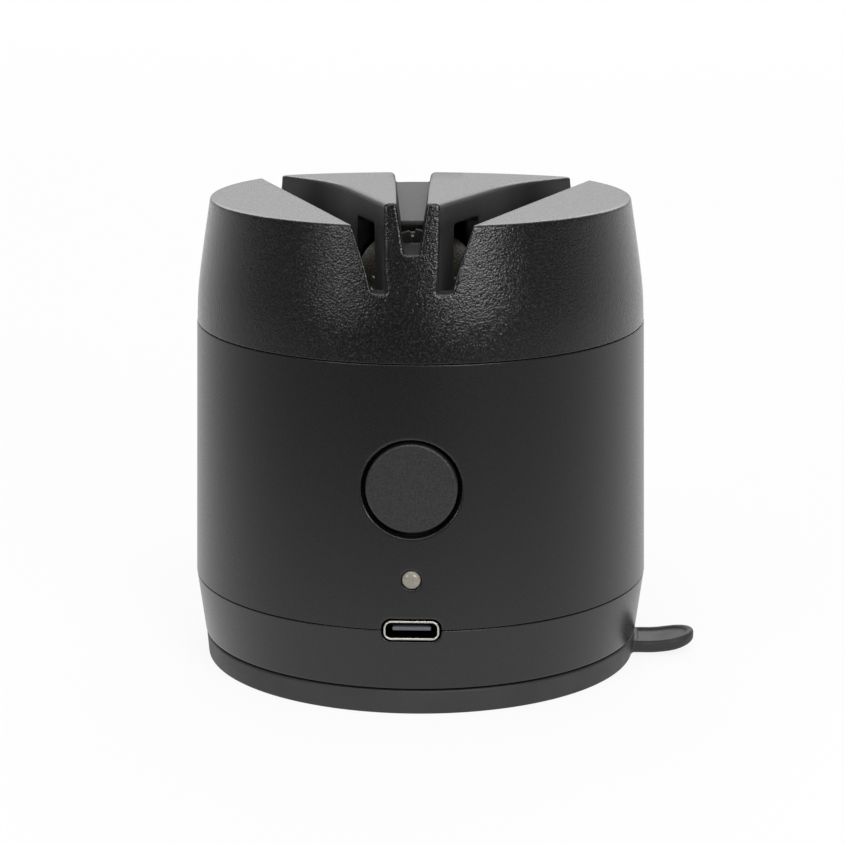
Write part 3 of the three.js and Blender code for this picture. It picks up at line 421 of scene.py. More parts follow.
def plate_room(x, y, z, side, gap):
    front, shift, lean = plate_place(side)
    px, pz = x - shift, z - (FINISH_FLOOR - PLATE_SINK)
    qx = px * math.cos(lean) - pz * math.sin(lean)
    qz = px * math.sin(lean) + pz * math.cos(lean)
    dx = np.abs(qx - side * PLATE_W / 2) - PLATE_W / 2 - gap
    dy = np.abs(y - front - PLATE_T / 2) - PLATE_T / 2 - gap
    dz = np.abs(qz - (PLATE_HIGH + PLATE_LOW) / 2) - (PLATE_HIGH - PLATE_LOW) / 2 - gap
    return np.maximum(np.maximum(dx, dy), dz)


def head_outside(x, y, z, inner):
    """The head as one full form, with its slots."""
    radius = np.hypot(x, y)
    outer = outer_wall(x, y, z)
    is_middle = (inner < 0) | (-outer > inner)
    level = np.where(is_middle, MIDDLE_TOP, HEAD_TOP)
    tilt = np.where(is_middle, MIDDLE_TILT, HEAD_TILT)
    top = (z - (level - y * np.tan(tilt))) * np.cos(tilt)
    behind_lip = soft_step(-radius, -LIP_INSIDE, LIP_FADE - LIP_INSIDE)
    floor = SLOT_FLOOR - SLOT_DIP * behind_lip
    slot = both(both(-inner, outer, SLOT_SOFT), floor - z, FLOOR_SOFT + FLOOR_GAIN * behind_lip)
    ridge = MIDDLE_SOFT + MIDDLE_GAIN * soft_step(y, *MIDDLE_CHANGE)
    body = both(top, -slot, np.where(is_middle, ridge, WING_SOFT))
    body = both(body, -finish_slot(x, y, z), V_SOFT + V_GAIN * soft_step(y, *V_CHANGE))
    rim = RIM_SOFT + np.where(is_middle, RIM_GAIN * soft_step(y, *RIM_CHANGE), 0)
    rim = rim + LOW_RIM_GAIN * soft_step(-z, -LOW_RIM_TOP, -LOW_RIM_BOTTOM)
    return both(body, cone(radius, z), rim)


def screw_posts(shell, body, x, y, z):
    """Adds the bored posts for the bracket screws."""
    for angle in POST_ANGLES:
        turn = math.radians(angle)
        post = np.hypot(x - POST_PLACE_R * math.cos(turn), y - POST_PLACE_R * math.sin(turn))
        stud = np.maximum(np.maximum(post - POST_R, HEAD_Z0 + POST_LIFT - z), body + POST_COVER)
        hole = np.maximum(post - POST_HOLE_R, z - HEAD_Z0 - POST_HOLE_H)
        shell = np.maximum(np.minimum(shell, stud), -hole)
    return shell


def window(y, z, inner):
    """The openings in the middle part's side walls, which show the wheel."""
    roof = z - (MIDDLE_TOP - WINDOW_DROP - y * math.tan(MIDDLE_TILT))
    ends = both(WINDOW_FRONT - y, y - WINDOW_BACK, WINDOW_EDGE)
    hole = both(ends, both(roof, SLOT_FLOOR + WINDOW_SILL - z, WINDOW_ROOF_EDGE), WINDOW_EDGE)
    return np.maximum(hole, np.abs(inner + WINDOW_DEPTH) - WINDOW_REACH)


def well(x, y, z):
    """The opening in the V slot's floor, down to the wheel."""
    deep = np.abs(y - (WELL_FRONT + WELL_BACK) / 2) - (WELL_BACK - WELL_FRONT) / 2
    return np.maximum(both(np.abs(x) - WELL_HALF, deep, WELL_EDGE), z - FINISH_FLOOR - WELL_RISE)


def head_field(x, y, z):
    inner = inner_wall(x, y)
    body = head_outside(x, y, z, inner)
    shell = np.maximum(body, -(body + WALL))
    shell = screw_posts(shell, body, x, y, z)
    shell = np.maximum(shell, -wheel_room(x, y, z))
    shell = both(shell, -window(y, z, inner), WINDOW_MOUTH_EDGE)
    shell = both(shell, -well(x, y, z), WELL_MOUTH_EDGE)
    for side in (-1, 1):
        shell = np.maximum(shell, -plate_room(x, y, z, side, PLATE_ROOM))
    return both(shell, HEAD_Z0 - SEAM_LIP - z, SEAM_EDGE)


def socket_room(x, y, z):
    dx = np.abs(x) - SOCKET_W / 2 + SOCKET_CORNER
    dz = np.abs(z - SOCKET_Z) - SOCKET_H / 2 + SOCKET_CORNER
    gap = np.hypot(np.maximum(dx, 0), np.maximum(dz, 0)) + np.minimum(np.maximum(dx, dz), 0)
    return np.where(y < 0, gap - SOCKET_CORNER - SOCKET_GAP, NOT_HERE)


def sleeve_field(x, y, z):
    radius = np.hypot(x, y)
    share = (z - SLEEVE_Z0) / (SLEEVE_Z1 - SLEEVE_Z0)
    outside = SLEEVE_BOTTOM_R + (SLEEVE_TOP_R - SLEEVE_BOTTOM_R) * share
    tube = both(radius - outside, SLEEVE_Z0 - SEAM_LIP - z, SEAM_EDGE)
    tube = both(tube, z - SLEEVE_Z1 - SEAM_LIP, SEAM_TOP_EDGE)
    tube = both(tube, outside - WALL - radius, WALL_EDGE)
    button = np.where(y < 0, np.hypot(x, z - BUTTON_Z) - BUTTON_OPENING_R, NOT_HERE)
    lamp = np.where(y < 0, np.hypot(x, z - LAMP_Z) - LAMP_R - LAMP_GAP, NOT_HERE)
    tube = both(tube, -button, BUTTON_HOLE_EDGE)
    tube = both(tube, -lamp, LAMP_HOLE_EDGE)
    return both(tube, -socket_room(x, y, z), SOCKET_HOLE_EDGE)


def base_field(x, y, z):
    radius = np.hypot(x, y)
    outside = BASE_BOTTOM_R + (BASE_TOP_R - BASE_BOTTOM_R) * (z - BASE_Z0) / (BASE_Z1 - BASE_Z0)
    cup = both(radius - outside, BASE_Z0 - z, BASE_EDGE)
    cup = both(cup, z - BASE_Z1 - SEAM_LIP, SEAM_EDGE)
    cup = np.maximum(cup, -np.maximum(radius - SPIGOT_INNER_R, BASE_Z0 + WALL - z))
    ring = np.maximum(radius - SPIGOT_OUTER_R, SPIGOT_INNER_R - radius)
    spigot = np.maximum(ring, np.maximum(z - BASE_Z1 - SPIGOT_H, SPIGOT_Z0 - z))
    cup = np.minimum(cup, spigot)
    cup = np.maximum(cup, BASE_HOLE_R - radius)
    return both(cup, -socket_room(x, y, z), SOCKET_HOLE_EDGE)


def tab_rise(x):
    """How far the tab curls up at each x, from nothing where its curl starts."""
    # The curl goes TAB_CURL_LENGTH * t + 3 * t * t along and TAB_CURL * t * t up
    along = np.maximum(x - (TAB_REACH - TAB_CURL_LENGTH), 0)
    t = (np.sqrt(TAB_CURL_LENGTH ** 2 + 12 * along) - TAB_CURL_LENGTH) / 6
    return TAB_CURL * t * t


def foot_field(x, y, z):
    radius = np.hypot(x, y)
    outside = FOOT_BOTTOM_R + (FOOT_TOP_R - FOOT_BOTTOM_R) * z / FOOT_H
    disc = both(radius - outside, z - FOOT_H, FOOT_EDGE)
    disc = both(disc, -z, FOOT_BOTTOM_EDGE)
    flare = z * FOOT_FLARE
    ring = both(FOOT_PAD_R + flare - radius, radius - FOOT_RING_R + flare, RING_SIDE_EDGE)
    disc = both(disc, -both(ring, z - FOOT_HOLLOW, RING_ROOF_EDGE), RING_MOUTH_EDGE)
    stud = np.maximum(np.maximum(radius - FOOT_STUD_R, z - FOOT_STUD_Z1), FOOT_STUD_Z0 - z)
    disc = np.minimum(disc, stud)
    lift = z - TAB_Z - tab_rise(x)
    plan = np.hypot(np.maximum(x - (TAB_REACH - TAB_HALF), 0), y) - TAB_HALF
    recess = plan + RECESS_RIM
    plan = np.maximum(plan, TAB_ROOT - x)
    tab = both(plan, np.abs(lift - TAB_THICK / 2) - TAB_THICK / 2, TAB_EDGE)
    recess = np.maximum(both(recess, TAB_THICK - RECESS_DEPTH - lift, RECESS_DEPTH), RECESS_ROOT - x)
    tab = both(tab, -recess, RECESS_EDGE)
    return either(disc, tab, TAB_FILLET)


def netted(name, field, grids, place=upright, wraps=False, share=1.0):
    points, quads = net(field, grids, place, wraps)
    obj = mesh_object(name, points, quads)
    tidy_mesh(obj)
    if share < 1:
        thin(obj, share)
    even_shading(obj)
    return obj


HEAD_STEP = 0.24
HEAD_SIDE_STEP = 1.6 * HEAD_STEP

# Grid lines of each shell as (start, end, spacing) runs, finest at its edges and openings
HEAD_XS = stops((-38.4, -22.0, HEAD_SIDE_STEP), (-22.0, 22.0, HEAD_STEP), (22.0, 38.4, HEAD_SIDE_STEP))
HEAD_YS = stops((-38.4, -12.0, HEAD_STEP), (-12.0, 38.4, HEAD_SIDE_STEP))
HEAD_ZS = stops((57.8, 58.6, 0.1), (58.6, 66.8, HEAD_SIDE_STEP), (66.8, 84.0, HEAD_STEP))
SLEEVE_RADII = stops((34.6, 36.6, 0.4), (36.6, 38.8, 0.16))
SLEEVE_ZS = stops(
    (14.5, 15.2, 0.09), (15.2, 17.4, 0.25), (17.4, 20.9, 0.9), (20.9, 25.2, 0.25),
    (25.2, 29.2, 0.9), (29.2, 46.6, 0.3), (46.6, 57.2, 2.1), (57.2, 58.3, 0.09),
)
BASE_RADII = stops((3.0, 4.0, 0.4), (4.0, 33.8, 5.0), (33.8, 36.4, 0.4), (36.4, 38.8, 0.16))
BASE_ZS = stops(
    (4.1, 5.6, 0.16), (5.6, 7.0, 0.35), (7.0, 11.8, 0.8), (11.8, 13.7, 0.25), (13.7, 14.9, 0.09),
    (14.9, 18.0, 0.5),
)
FOOT_RADII = stops(
    (0.4, 2.8, 1.2), (2.8, 3.6, 0.2), (3.6, 10.4, 2.2), (10.4, 14.2, 0.3), (14.2, 30.0, 3.0),
    (30.0, 34.0, 0.3), (34.0, 37.4, 0.2), (37.4, 47.8, 0.3),
)
FOOT_ZS = stops((-0.3, 0.8, 0.14), (0.8, 1.8, 0.2), (1.8, 3.2, 0.25), (3.2, 4.5, 0.16), (4.5, 6.5, 0.4))


def turn_stops(start, end, fine):
    """Angles round the axis: fine from start to end and coarse elsewhere, all given in degrees."""
    start, end, fine, coarse = (math.radians(angle) for angle in (start, end, fine, 2.5))
    return stops((-math.pi, start, coarse), (start, end, fine), (end, math.pi, coarse))[:-1]


def make_shells():
    front, tab = turn_stops(-16, 16, 0.5), turn_stops(78, 102, 0.45)
    return (
        netted("head", head_field, (HEAD_XS, HEAD_YS, HEAD_ZS), share=0.45),
        netted("sleeve", sleeve_field, (front, SLEEVE_RADII, SLEEVE_ZS), round_the_axis, True),
        netted("base", base_field, (front, BASE_RADII, BASE_ZS), round_the_axis, True),
        netted("foot", foot_field, (tab, FOOT_RADII, FOOT_ZS), round_the_axis, True),
    )


# -------- turned and moulded pieces


def turned(name, profile, sides=96, centre=(0, 0, 0), along="z"):
    """A closed profile of (radius, height) turned round an axis."""
    points, faces, rings = [], [], []
    for r, h in profile:
        if r < 1e-6:
            rings.append([len(points)] * sides)
            points.append((0, 0, h))
        else:
            rings.append(list(range(len(points), len(points) + sides)))
            for i in range(sides):
                a = 2 * math.pi * i / sides
                points.append((r * math.cos(a), r * math.sin(a), h))
    hollow = profile[0][0] > 1e-6 and profile[-1][0] > 1e-6
    for n in range(len(rings) if hollow else len(rings) - 1):
        low, high = rings[n], rings[(n + 1) % len(rings)]
        for i in range(sides):
            j = (i + 1) % sides
            face = []
            for corner in (low[i], low[j], high[j], high[i]):
                if corner not in face:
                    face.append(corner)
            if len(face) > 2:
                faces.append(face)
    if along == "y":
        points = [(x, z, y) for x, y, z in points]
    points = [(x + centre[0], y + centre[1], z + centre[2]) for x, y, z in points]
    obj = mesh_object(name, points, faces)
    tidy_mesh(obj)
    even_shading(obj)
    return obj


def bent(corners, radii, steps=4):
    """A profile whose corners are rounded; a radius of zero keeps a corner sharp."""
    result = []
    count = len(corners)
    for i, (corner, radius) in enumerate(zip(corners, radii)):
        here = Vector(corner)
        if radius <= 0:
            result.append(tuple(here))
            continue
        back = (Vector(corners[i - 1]) - here).normalized()
        ahead = (Vector(corners[(i + 1) % count]) - here).normalized()
        half = back.angle(ahead) / 2
        reach = radius / math.tan(half)
        middle = here + (back + ahead).normalized() * (radius / math.sin(half))
        first, last = here + back * reach - middle, here + ahead * reach - middle
        for n in range(steps + 1):
            result.append(tuple(middle + first.lerp(last, n / steps).normalized() * radius))
    return result


def cornered_ring(width, height, radius, count=8):
    """A rectangle with round corners, as one ring of points."""
    ring = []
    for quarter, (side, end) in enumerate(((1, 1), (-1, 1), (-1, -1), (1, -1))):
        for n in range(count + 1):
            a = math.pi / 2 * (quarter + n / count)
            ring.append((
                side * (width / 2 - radius) + radius * math.cos(a),
                end * (height / 2 - radius) + radius * math.sin(a),
            ))
    return ring


def skinned(name, rings):
    """Rings of equal length joined one after another, and the last to the first."""
    size = len(rings[0])
    points = [p for ring in rings for p in ring]
    faces = []
    for n in range(len(rings)):
        a, b = n * size, ((n + 1) % len(rings)) * size
        for i in range(size):
            j = (i + 1) % size
            faces.append((a + i, a + j, b + j, b + i))
    obj = mesh_object(name, points, faces)
    tidy_mesh(obj)
    return obj


def make_button():
    back, flange_back = BUTTON_SKIRT, BUTTON_SKIRT + BUTTON_FLANGE_T
    corners = [
        (0, 0), (BUTTON_R, 0), (BUTTON_R, back), (BUTTON_FLANGE_R, back), (BUTTON_FLANGE_R, flange_back),
        (BUTTON_BACK_R, flange_back), (BUTTON_BACK_R, BUTTON_BACK), (0, BUTTON_BACK),
    ]
    soft = BUTTON_SOFT
    profile = bent(corners, [0, BUTTON_EDGE, soft, soft, soft, 0, 0, 0], steps=6)
    # Rings on the flat face keep its shading level up to the edge
    face = [(r, 0) for r in (0, 2.0, 4.0, 5.5, 6.4, 6.8)]
    return turned("button", face + profile[1:], 128, (0, BUTTON_FRONT, BUTTON_Z), "y")


def make_lamp():
    flange_front, flange_back = LAMP_FLANGE
    dome = [(LAMP_R * math.sin(a), LAMP_DOME * (1 - math.cos(a))) for a in np.linspace(0, math.pi / 2, 12)]
    profile = dome + [
        (LAMP_R, flange_front), (LAMP_FLANGE_R, flange_front), (LAMP_FLANGE_R, flange_back),
        (LAMP_R, flange_back), (LAMP_R, LAMP_LENGTH), (0, LAMP_LENGTH),
    ]
    return turned("lamp", profile, 48, (0, LAMP_FRONT, LAMP_Z), "y")


def make_socket():
    def ring(inset, depth):
        flat = cornered_ring(SOCKET_W - 2 * inset, SOCKET_H - 2 * inset, SOCKET_CORNER - inset)
        return [(x, SOCKET_FRONT + depth, z + SOCKET_Z) for x, z in flat]

    lip, bend, wall = SOCKET_LIP, SOCKET_LIP * 0.3, SOCKET_WALL
    return skinned("socket_shell", [
        ring(0, SOCKET_DEPTH), ring(0, lip), ring(bend, bend), ring(lip, 0),
        ring(wall - lip, 0), ring(wall - bend, bend), ring(wall, lip), ring(wall, SOCKET_DEPTH),
    ])


def rounded_block(name, low, high, radius):
    """A block with softened edges, built as a cage and rounded."""
    mesh = bpy.data.meshes.new(name)
    work = bmesh.new()
    bmesh.ops.create_cube(work, size=1)
    size = [(b - a) * MM for a, b in zip(low, high)]
    centre = [(a + b) / 2 * MM for a, b in zip(low, high)]
    for vertex in work.verts:
        vertex.co = Vector([centre[i] + vertex.co[i] * size[i] for i in range(3)])
    bmesh.ops.bevel(work, geom=work.edges[:], offset=radius * MM, segments=3, profile=0.5, affect="EDGES")
    work.to_mesh(mesh)
    work.free()
    smooth_shading(mesh)
    return placed(name, mesh)


def joined(name, pieces):
    """Separate bits of one moulding in one object."""
    with bpy.context.temp_override(active_object=pieces[0], selected_editable_objects=pieces):
        bpy.ops.object.join()
    pieces[0].name = name
    return pieces[0]


def make_tongue():
    low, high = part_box("usb_tongue")
    low, high = low / MM, high / MM
    middle = (low.z + high.z) / 2
    core = rounded_block(
        "tongue_core", (low.x, high.y - CORE_DEPTH, low.z), (high.x, high.y, high.z), CORE_EDGE,
    )
    blade = rounded_block(
        "tongue_blade",
        (-BLADE_HALF_W, low.y, middle - BLADE_HALF_T),
        (BLADE_HALF_W, high.y - CORE_DEPTH - BLADE_GAP, middle + BLADE_HALF_T), BLADE_EDGE,
    )
    return joined("socket_tongue", [core, blade])


def make_wheel():
    wide, tall = WHEEL_R - WHEEL_TOP_R, WHEEL_Z1 - WHEEL_RIM
    dome = [
        (WHEEL_TOP_R + wide * math.cos(a), WHEEL_RIM + tall * math.sin(a))
        for a in np.linspace(0, math.pi / 2, 25)
    ]
    seat_z = WHEEL_Z1 - WHEEL_SEAT_DEPTH
    profile = [
        (WHEEL_BORE_R, WHEEL_Z0), (WHEEL_R - WHEEL_EDGE, WHEEL_Z0), (WHEEL_R, WHEEL_Z0 + WHEEL_EDGE),
        *dome, (WHEEL_SEAT_R + WHEEL_SEAT_EDGE, WHEEL_Z1), (WHEEL_SEAT_R, WHEEL_Z1 - WHEEL_SEAT_EDGE),
        (WHEEL_SEAT_R, seat_z), (WHEEL_BORE_R, seat_z),
    ]
    return turned("wheel", profile, 96, (0, WHEEL_Y, 0))


def make_nut():
    """A hexagon nut with its bore and bevelled edges."""
    low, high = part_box("wheel_nut")
    z0, z1 = low.z / MM, high.z / MM
    sector = math.pi / 3
    rings = []
    for radius, z in (
        (NUT_BORE_R, z0), (NUT_FACE_R, z0), (NUT_R, z0 + NUT_EDGE),
        (NUT_R, z1 - NUT_EDGE), (NUT_FACE_R, z1), (NUT_BORE_R, z1),
    ):
        ring = []
        for n in range(48):
            a = 2 * math.pi * n / 48
            flat = math.cos(sector / 2) / math.cos(a % sector - sector / 2)
            r = radius if radius == NUT_BORE_R else radius * flat
            ring.append((r * math.cos(a), WHEEL_Y + r * math.sin(a), z))
        rings.append(ring)
    return skinned("nut", rings)


def make_plate(side):
    front, shift, lean = plate_place(side)
    low = (0 if side > 0 else -PLATE_W, 0, PLATE_LOW)
    high = (low[0] + PLATE_W, PLATE_T, PLATE_HIGH)
    plate = rounded_block("plate_right" if side > 0 else "plate_left", low, high, PLATE_SOFT)
    for vertex in plate.data.vertices:
        x, y, z = vertex.co / MM
        vertex.co = Vector((
            x * math.cos(lean) + z * math.sin(lean) + shift,
            y + front,
            -x * math.sin(lean) + z * math.cos(lean) + FINISH_FLOOR - PLATE_SINK,
        )) * MM
    return plate


# -------- materials


class Graph:
    """Adds nodes to a node tree; a value is a number or another node's output."""

    def __init__(self, tree):
        self.nodes, self.links = tree.nodes, tree.links

    def feed(self, value, socket):
        if isinstance(value, (int, float)):
            socket.default_value = value
        else:
            self.links.new(value, socket)

    def math(self, operation, a, b):
        node = self.nodes.new("ShaderNodeMath")
        node.operation = operation
        self.feed(a, node.inputs[0])
        self.feed(b, node.inputs[1])
        return node.outputs[0]

    def remap(self, value, from_low, from_high, to_low, to_high):
        node = self.nodes.new("ShaderNodeMapRange")
        for number, socket in zip((value, from_low, from_high, to_low, to_high), node.inputs):
            self.feed(number, socket)
        return node.outputs[0]

    def split(self, vector):
        """The x, y and z of a vector."""
        node = self.nodes.new("ShaderNodeSeparateXYZ")
        self.links.new(vector, node.inputs[0])
        return node.outputs

    def mixed(self, share, a, b):
        """The value that lies this share of the way from a to b."""
        return self.math("ADD", a, self.math("MULTIPLY", share, self.math("SUBTRACT", b, a)))


class Finish(Graph):
    """A material built step by step on the object's own coordinates; lengths are in millimetres."""

    def __init__(self, name):
        self.material = bpy.data.materials.new(name)
        self.material.use_nodes = True
        super().__init__(self.material.node_tree)
        self.shader = self.nodes["Principled BSDF"]
        self.place = self.nodes.new("ShaderNodeTexCoord").outputs["Object"]
        self.relief = None

    def set(self, **values):
        """Plain numbers for the shader's sockets, which are named with _ for each space."""
        for key, value in values.items():
            self.shader.inputs[key.replace("_", " ")].default_value = value

    def noise(self, scale, detail=2.0, rough=0.5, squeeze=None):
        """A soft noise with this many features to a metre, drawn out by a squeeze of its axes."""
        node = self.nodes.new("ShaderNodeTexNoise")
        node.inputs["Scale"].default_value = scale
        node.inputs["Detail"].default_value = detail
        node.inputs["Roughness"].default_value = rough
        place = self.place
        if squeeze:
            mapping = self.nodes.new("ShaderNodeMapping")
            mapping.inputs["Scale"].default_value = squeeze
            self.links.new(place, mapping.inputs["Vector"])
            place = mapping.outputs["Vector"]
        self.links.new(place, node.inputs["Vector"])
        return node.outputs["Fac"]

    def cells(self, scale):
        node = self.nodes.new("ShaderNodeTexVoronoi")
        node.inputs["Scale"].default_value = scale
        self.links.new(self.place, node.inputs["Vector"])
        return node.outputs["Distance"]

    def spread(self, noise, low=0.0, high=1.0):
        """The middle range of a noise, where nearly all of it lies, drawn out."""
        return self.remap(noise, 0.3, 0.7, low, high)

    def hypot(self, a, b):
        squares = self.math("ADD", self.math("MULTIPLY", a, a), self.math("MULTIPLY", b, b))
        return self.math("SQRT", squares, 0.0)

    def outside(self, low, high):
        """0 on walls that face inwards, 1 on the round outer face of the head."""
        x, y, z = self.split(self.place)
        above = self.math("SUBTRACT", z, SKIRT_TOP * MM)
        rise = self.math("ADD", above, self.hypot(above, CONE_BLEND * MM))
        proud = self.math("ADD", self.hypot(x, y), self.math("MULTIPLY", rise, CONE_SLOPE / 2))
        radius = SKIRT_R + CONE_SWELL
        return self.remap(proud, (radius + low) * MM, (radius + high) * MM, 0.0, 1.0)

    def past(self, axis, low, high):
        """0 up to a place along an axis (0 to 2), 1 from a later place on."""
        return self.remap(self.split(self.place)[axis], low * MM, high * MM, 0.0, 1.0)

    def tint(self, value, low, high):
        """The base colour, from low to high."""
        node = self.nodes.new("ShaderNodeMix")
        node.data_type = "RGBA"
        # A colour mix has its two colours in sockets 6 and 7, and its result in output 2
        self.links.new(value, node.inputs[0])
        node.inputs[6].default_value = (*low, 1)
        node.inputs[7].default_value = (*high, 1)
        self.links.new(node.outputs[2], self.shader.inputs["Base Color"])

    def rough(self, value):
        self.links.new(value, self.shader.inputs["Roughness"])

    def gloss(self, noise, low, high):
        """Roughness from low to high over a noise."""
        self.rough(self.spread(noise, low, high))

    def bump(self, value, height, strength=1.0):
        """Relief of this height; a later one lies on top of the earlier ones."""
        node = self.nodes.new("ShaderNodeBump")
        node.inputs["Distance"].default_value = height * MM
        node.inputs["Strength"].default_value = strength
        self.links.new(value, node.inputs["Height"])
        if self.relief is not None:
            self.links.new(self.relief, node.inputs["Normal"])
        self.relief = node.outputs["Normal"]
        self.links.new(self.relief, self.shader.inputs["Normal"])


def grey(value):
    return (value, value, value)


def body_plastic():
    """Fine satin outside; dull on the walls of the openings, which are darkened with painted shade."""
    f = Finish("body_satin")
    x, y, _ = f.split(f.place)
    # Painted shade: the inner faces and the walls of the openings are darker, where little light reaches
    inside = f.remap(f.hypot(x, y), 36.4 * MM, 36.7 * MM, 1.0, 0.0)
    fine = f.noise(3200, 3.0, 0.6)
    f.tint(inside, grey(0.007), grey(0.002))
    f.rough(f.math("ADD", f.spread(fine, 0.25, 0.34), f.math("MULTIPLY", inside, 0.6)))
    f.bump(fine, 0.006, 0.5)
    return f.material


def button_plastic():
    """Fine matt grain on the face; dull down the side, which is darkened with painted shade in the gap."""
    f = Finish("button_grain")
    fine = f.noise(3000, 3.0, 0.6)
    # Painted shade: the side of the button, from 0.35 mm behind its face, goes near-black inside the gap
    down = f.past(1, BUTTON_FRONT + 0.35, BUTTON_FRONT + 0.8)
    f.tint(f.math("MAXIMUM", down, f.remap(fine, 0.35, 0.6, 0.4, 0.0)), grey(0.02), grey(0.001))
    f.rough(f.math("ADD", f.spread(fine, 0.35, 0.46), f.math("MULTIPLY", down, 0.5)))
    f.bump(fine, 0.06, 0.8)
    return f.material


def head_plastic():
    """Coarse sparkling grain on the outer face; the top and the slots are satin."""
    f = Finish("head_grain")
    outer = f.outside(-0.32, -0.12)
    pits = f.noise(3250, 1.0, 0.6)
    f.tint(f.math("MULTIPLY", f.remap(pits, 0.48, 0.7, 0.0, 1.0), outer), grey(0.0055), grey(0.014))

    # The V slot is duller low down, most of all on its front shelf, and so are all upright walls
    low = f.math("SUBTRACT", 1.0, f.past(2, 75.5, 79.0))
    groove = f.math("MULTIPLY", f.math("SUBTRACT", f.past(0, -7.0, -6.0), f.past(0, 6.0, 7.0)), low)
    shelf = f.math("MULTIPLY", groove, f.remap(f.past(1, -27.0, -25.0), 0.0, 1.0, 0.3, 0.0))
    duller = f.math("ADD", f.math("MULTIPLY", groove, 0.3), shelf)
    facing = f.split(f.nodes.new("ShaderNodeNewGeometry").outputs["Normal"])
    upright_wall = f.remap(facing[2], 0.4, 0.75, 0.22, 0.0)
    satin = f.spread(f.noise(2600), 0.25, 0.33)
    satin = f.math("ADD", satin, f.math("ADD", duller, upright_wall))
    f.rough(f.mixed(outer, satin, f.remap(pits, 0.35, 0.65, 0.14, 0.25)))

    f.bump(f.math("MULTIPLY", pits, outer), 0.072)
    f.bump(f.noise(3600), 0.006, 0.5)
    return f.material


def inner_plastic():
    """Black moulded plastic with a spark-eroded grain, on the parts inside."""
    f = Finish("inner_plastic")
    fine = f.math("MULTIPLY", f.noise(1500, 3.0, 0.6), 0.65)
    coarse = f.math("MULTIPLY", f.noise(525), 0.35)
    grain = f.math("ADD", fine, coarse)
    f.tint(f.spread(f.noise(60, 3.0)), grey(0.0072), grey(0.00896))
    f.gloss(grain, 0.45, 0.56)
    f.bump(grain, 0.03, 0.3)
    return f.material


def milky_lens():
    f = Finish("milky_lens")
    f.tint(f.noise(900), (0.2, 0.185, 0.155), (0.27, 0.25, 0.21))
    f.gloss(f.noise(300), 0.12, 0.2)
    f.bump(f.noise(2500), 0.01, 0.3)
    f.set(Subsurface_Weight=0.3, Subsurface_Scale=1.0 * MM)
    return f.material


def socket_core():
    """Grey at the tongue's tip; deeper in the socket, painted shade turns it black."""
    f = Finish("socket_core")
    # Painted shade: black from 1.2 to 2.6 mm behind the socket's mouth
    near = f.past(1, SOCKET_FRONT + 1.2, SOCKET_FRONT + 2.6)
    f.tint(near, (0.11, 0.115, 0.135), (0.004, 0.004, 0.005))
    f.gloss(f.noise(2500), 0.5, 0.7)
    f.bump(f.noise(4000), 0.03, 0.8)
    return f.material


def socket_steel():
    """Bright at the mouth, dark where no light reaches inside."""
    f = Finish("socket_steel")
    f.tint(f.past(1, SOCKET_FRONT + 0.25, SOCKET_FRONT + 0.7), (0.62, 0.59, 0.55), (0.04, 0.04, 0.042))
    f.gloss(f.noise(900, 3.0, 0.6), 0.24, 0.36)
    f.bump(f.noise(1200), 0.01, 0.3)
    f.set(Metallic=1.0)
    return f.material


def abrasive_grit():
    f = Finish("abrasive_grit")
    grit = f.cells(1900)
    speck = f.noise(2600, 4.0, 0.7)
    f.tint(f.remap(speck, 0.35, 0.65, 0.0, 1.0), (0.012, 0.01, 0.006), (0.045, 0.037, 0.022))
    f.gloss(speck, 0.5, 0.75)
    f.bump(grit, 0.12, 0.8)
    return f.material


def metal(name, colour, rough, squeeze=None):
    f = Finish(name)
    grain = f.noise(900, 3.0, 0.6, squeeze)
    darker = tuple(c * 0.9 for c in colour)
    f.tint(f.spread(grain), darker, colour)
    f.gloss(grain, rough - 0.05, rough + 0.08)
    f.bump(grain, 0.01, 0.25)
    f.set(Metallic=1.0)
    return f.material


def moulded(name, tone, colours, gloss, bump, vivid=True):
    """A plain finish from three noises.

    tone: scale and detail of the noise between the two colours, spread out if vivid
    gloss: noise scale, lowest and highest roughness
    bump: noise scale (and its detail and roughness, if not the usual ones), height and strength
    """
    f = Finish(name)
    tones = f.noise(*tone)
    f.tint(f.spread(tones) if vivid else tones, *colours)
    scale, smooth, dull = gloss
    f.gloss(f.noise(scale), smooth, dull)
    *grain, height, strength = bump
    f.bump(f.noise(*grain), height, strength)
    return f.material


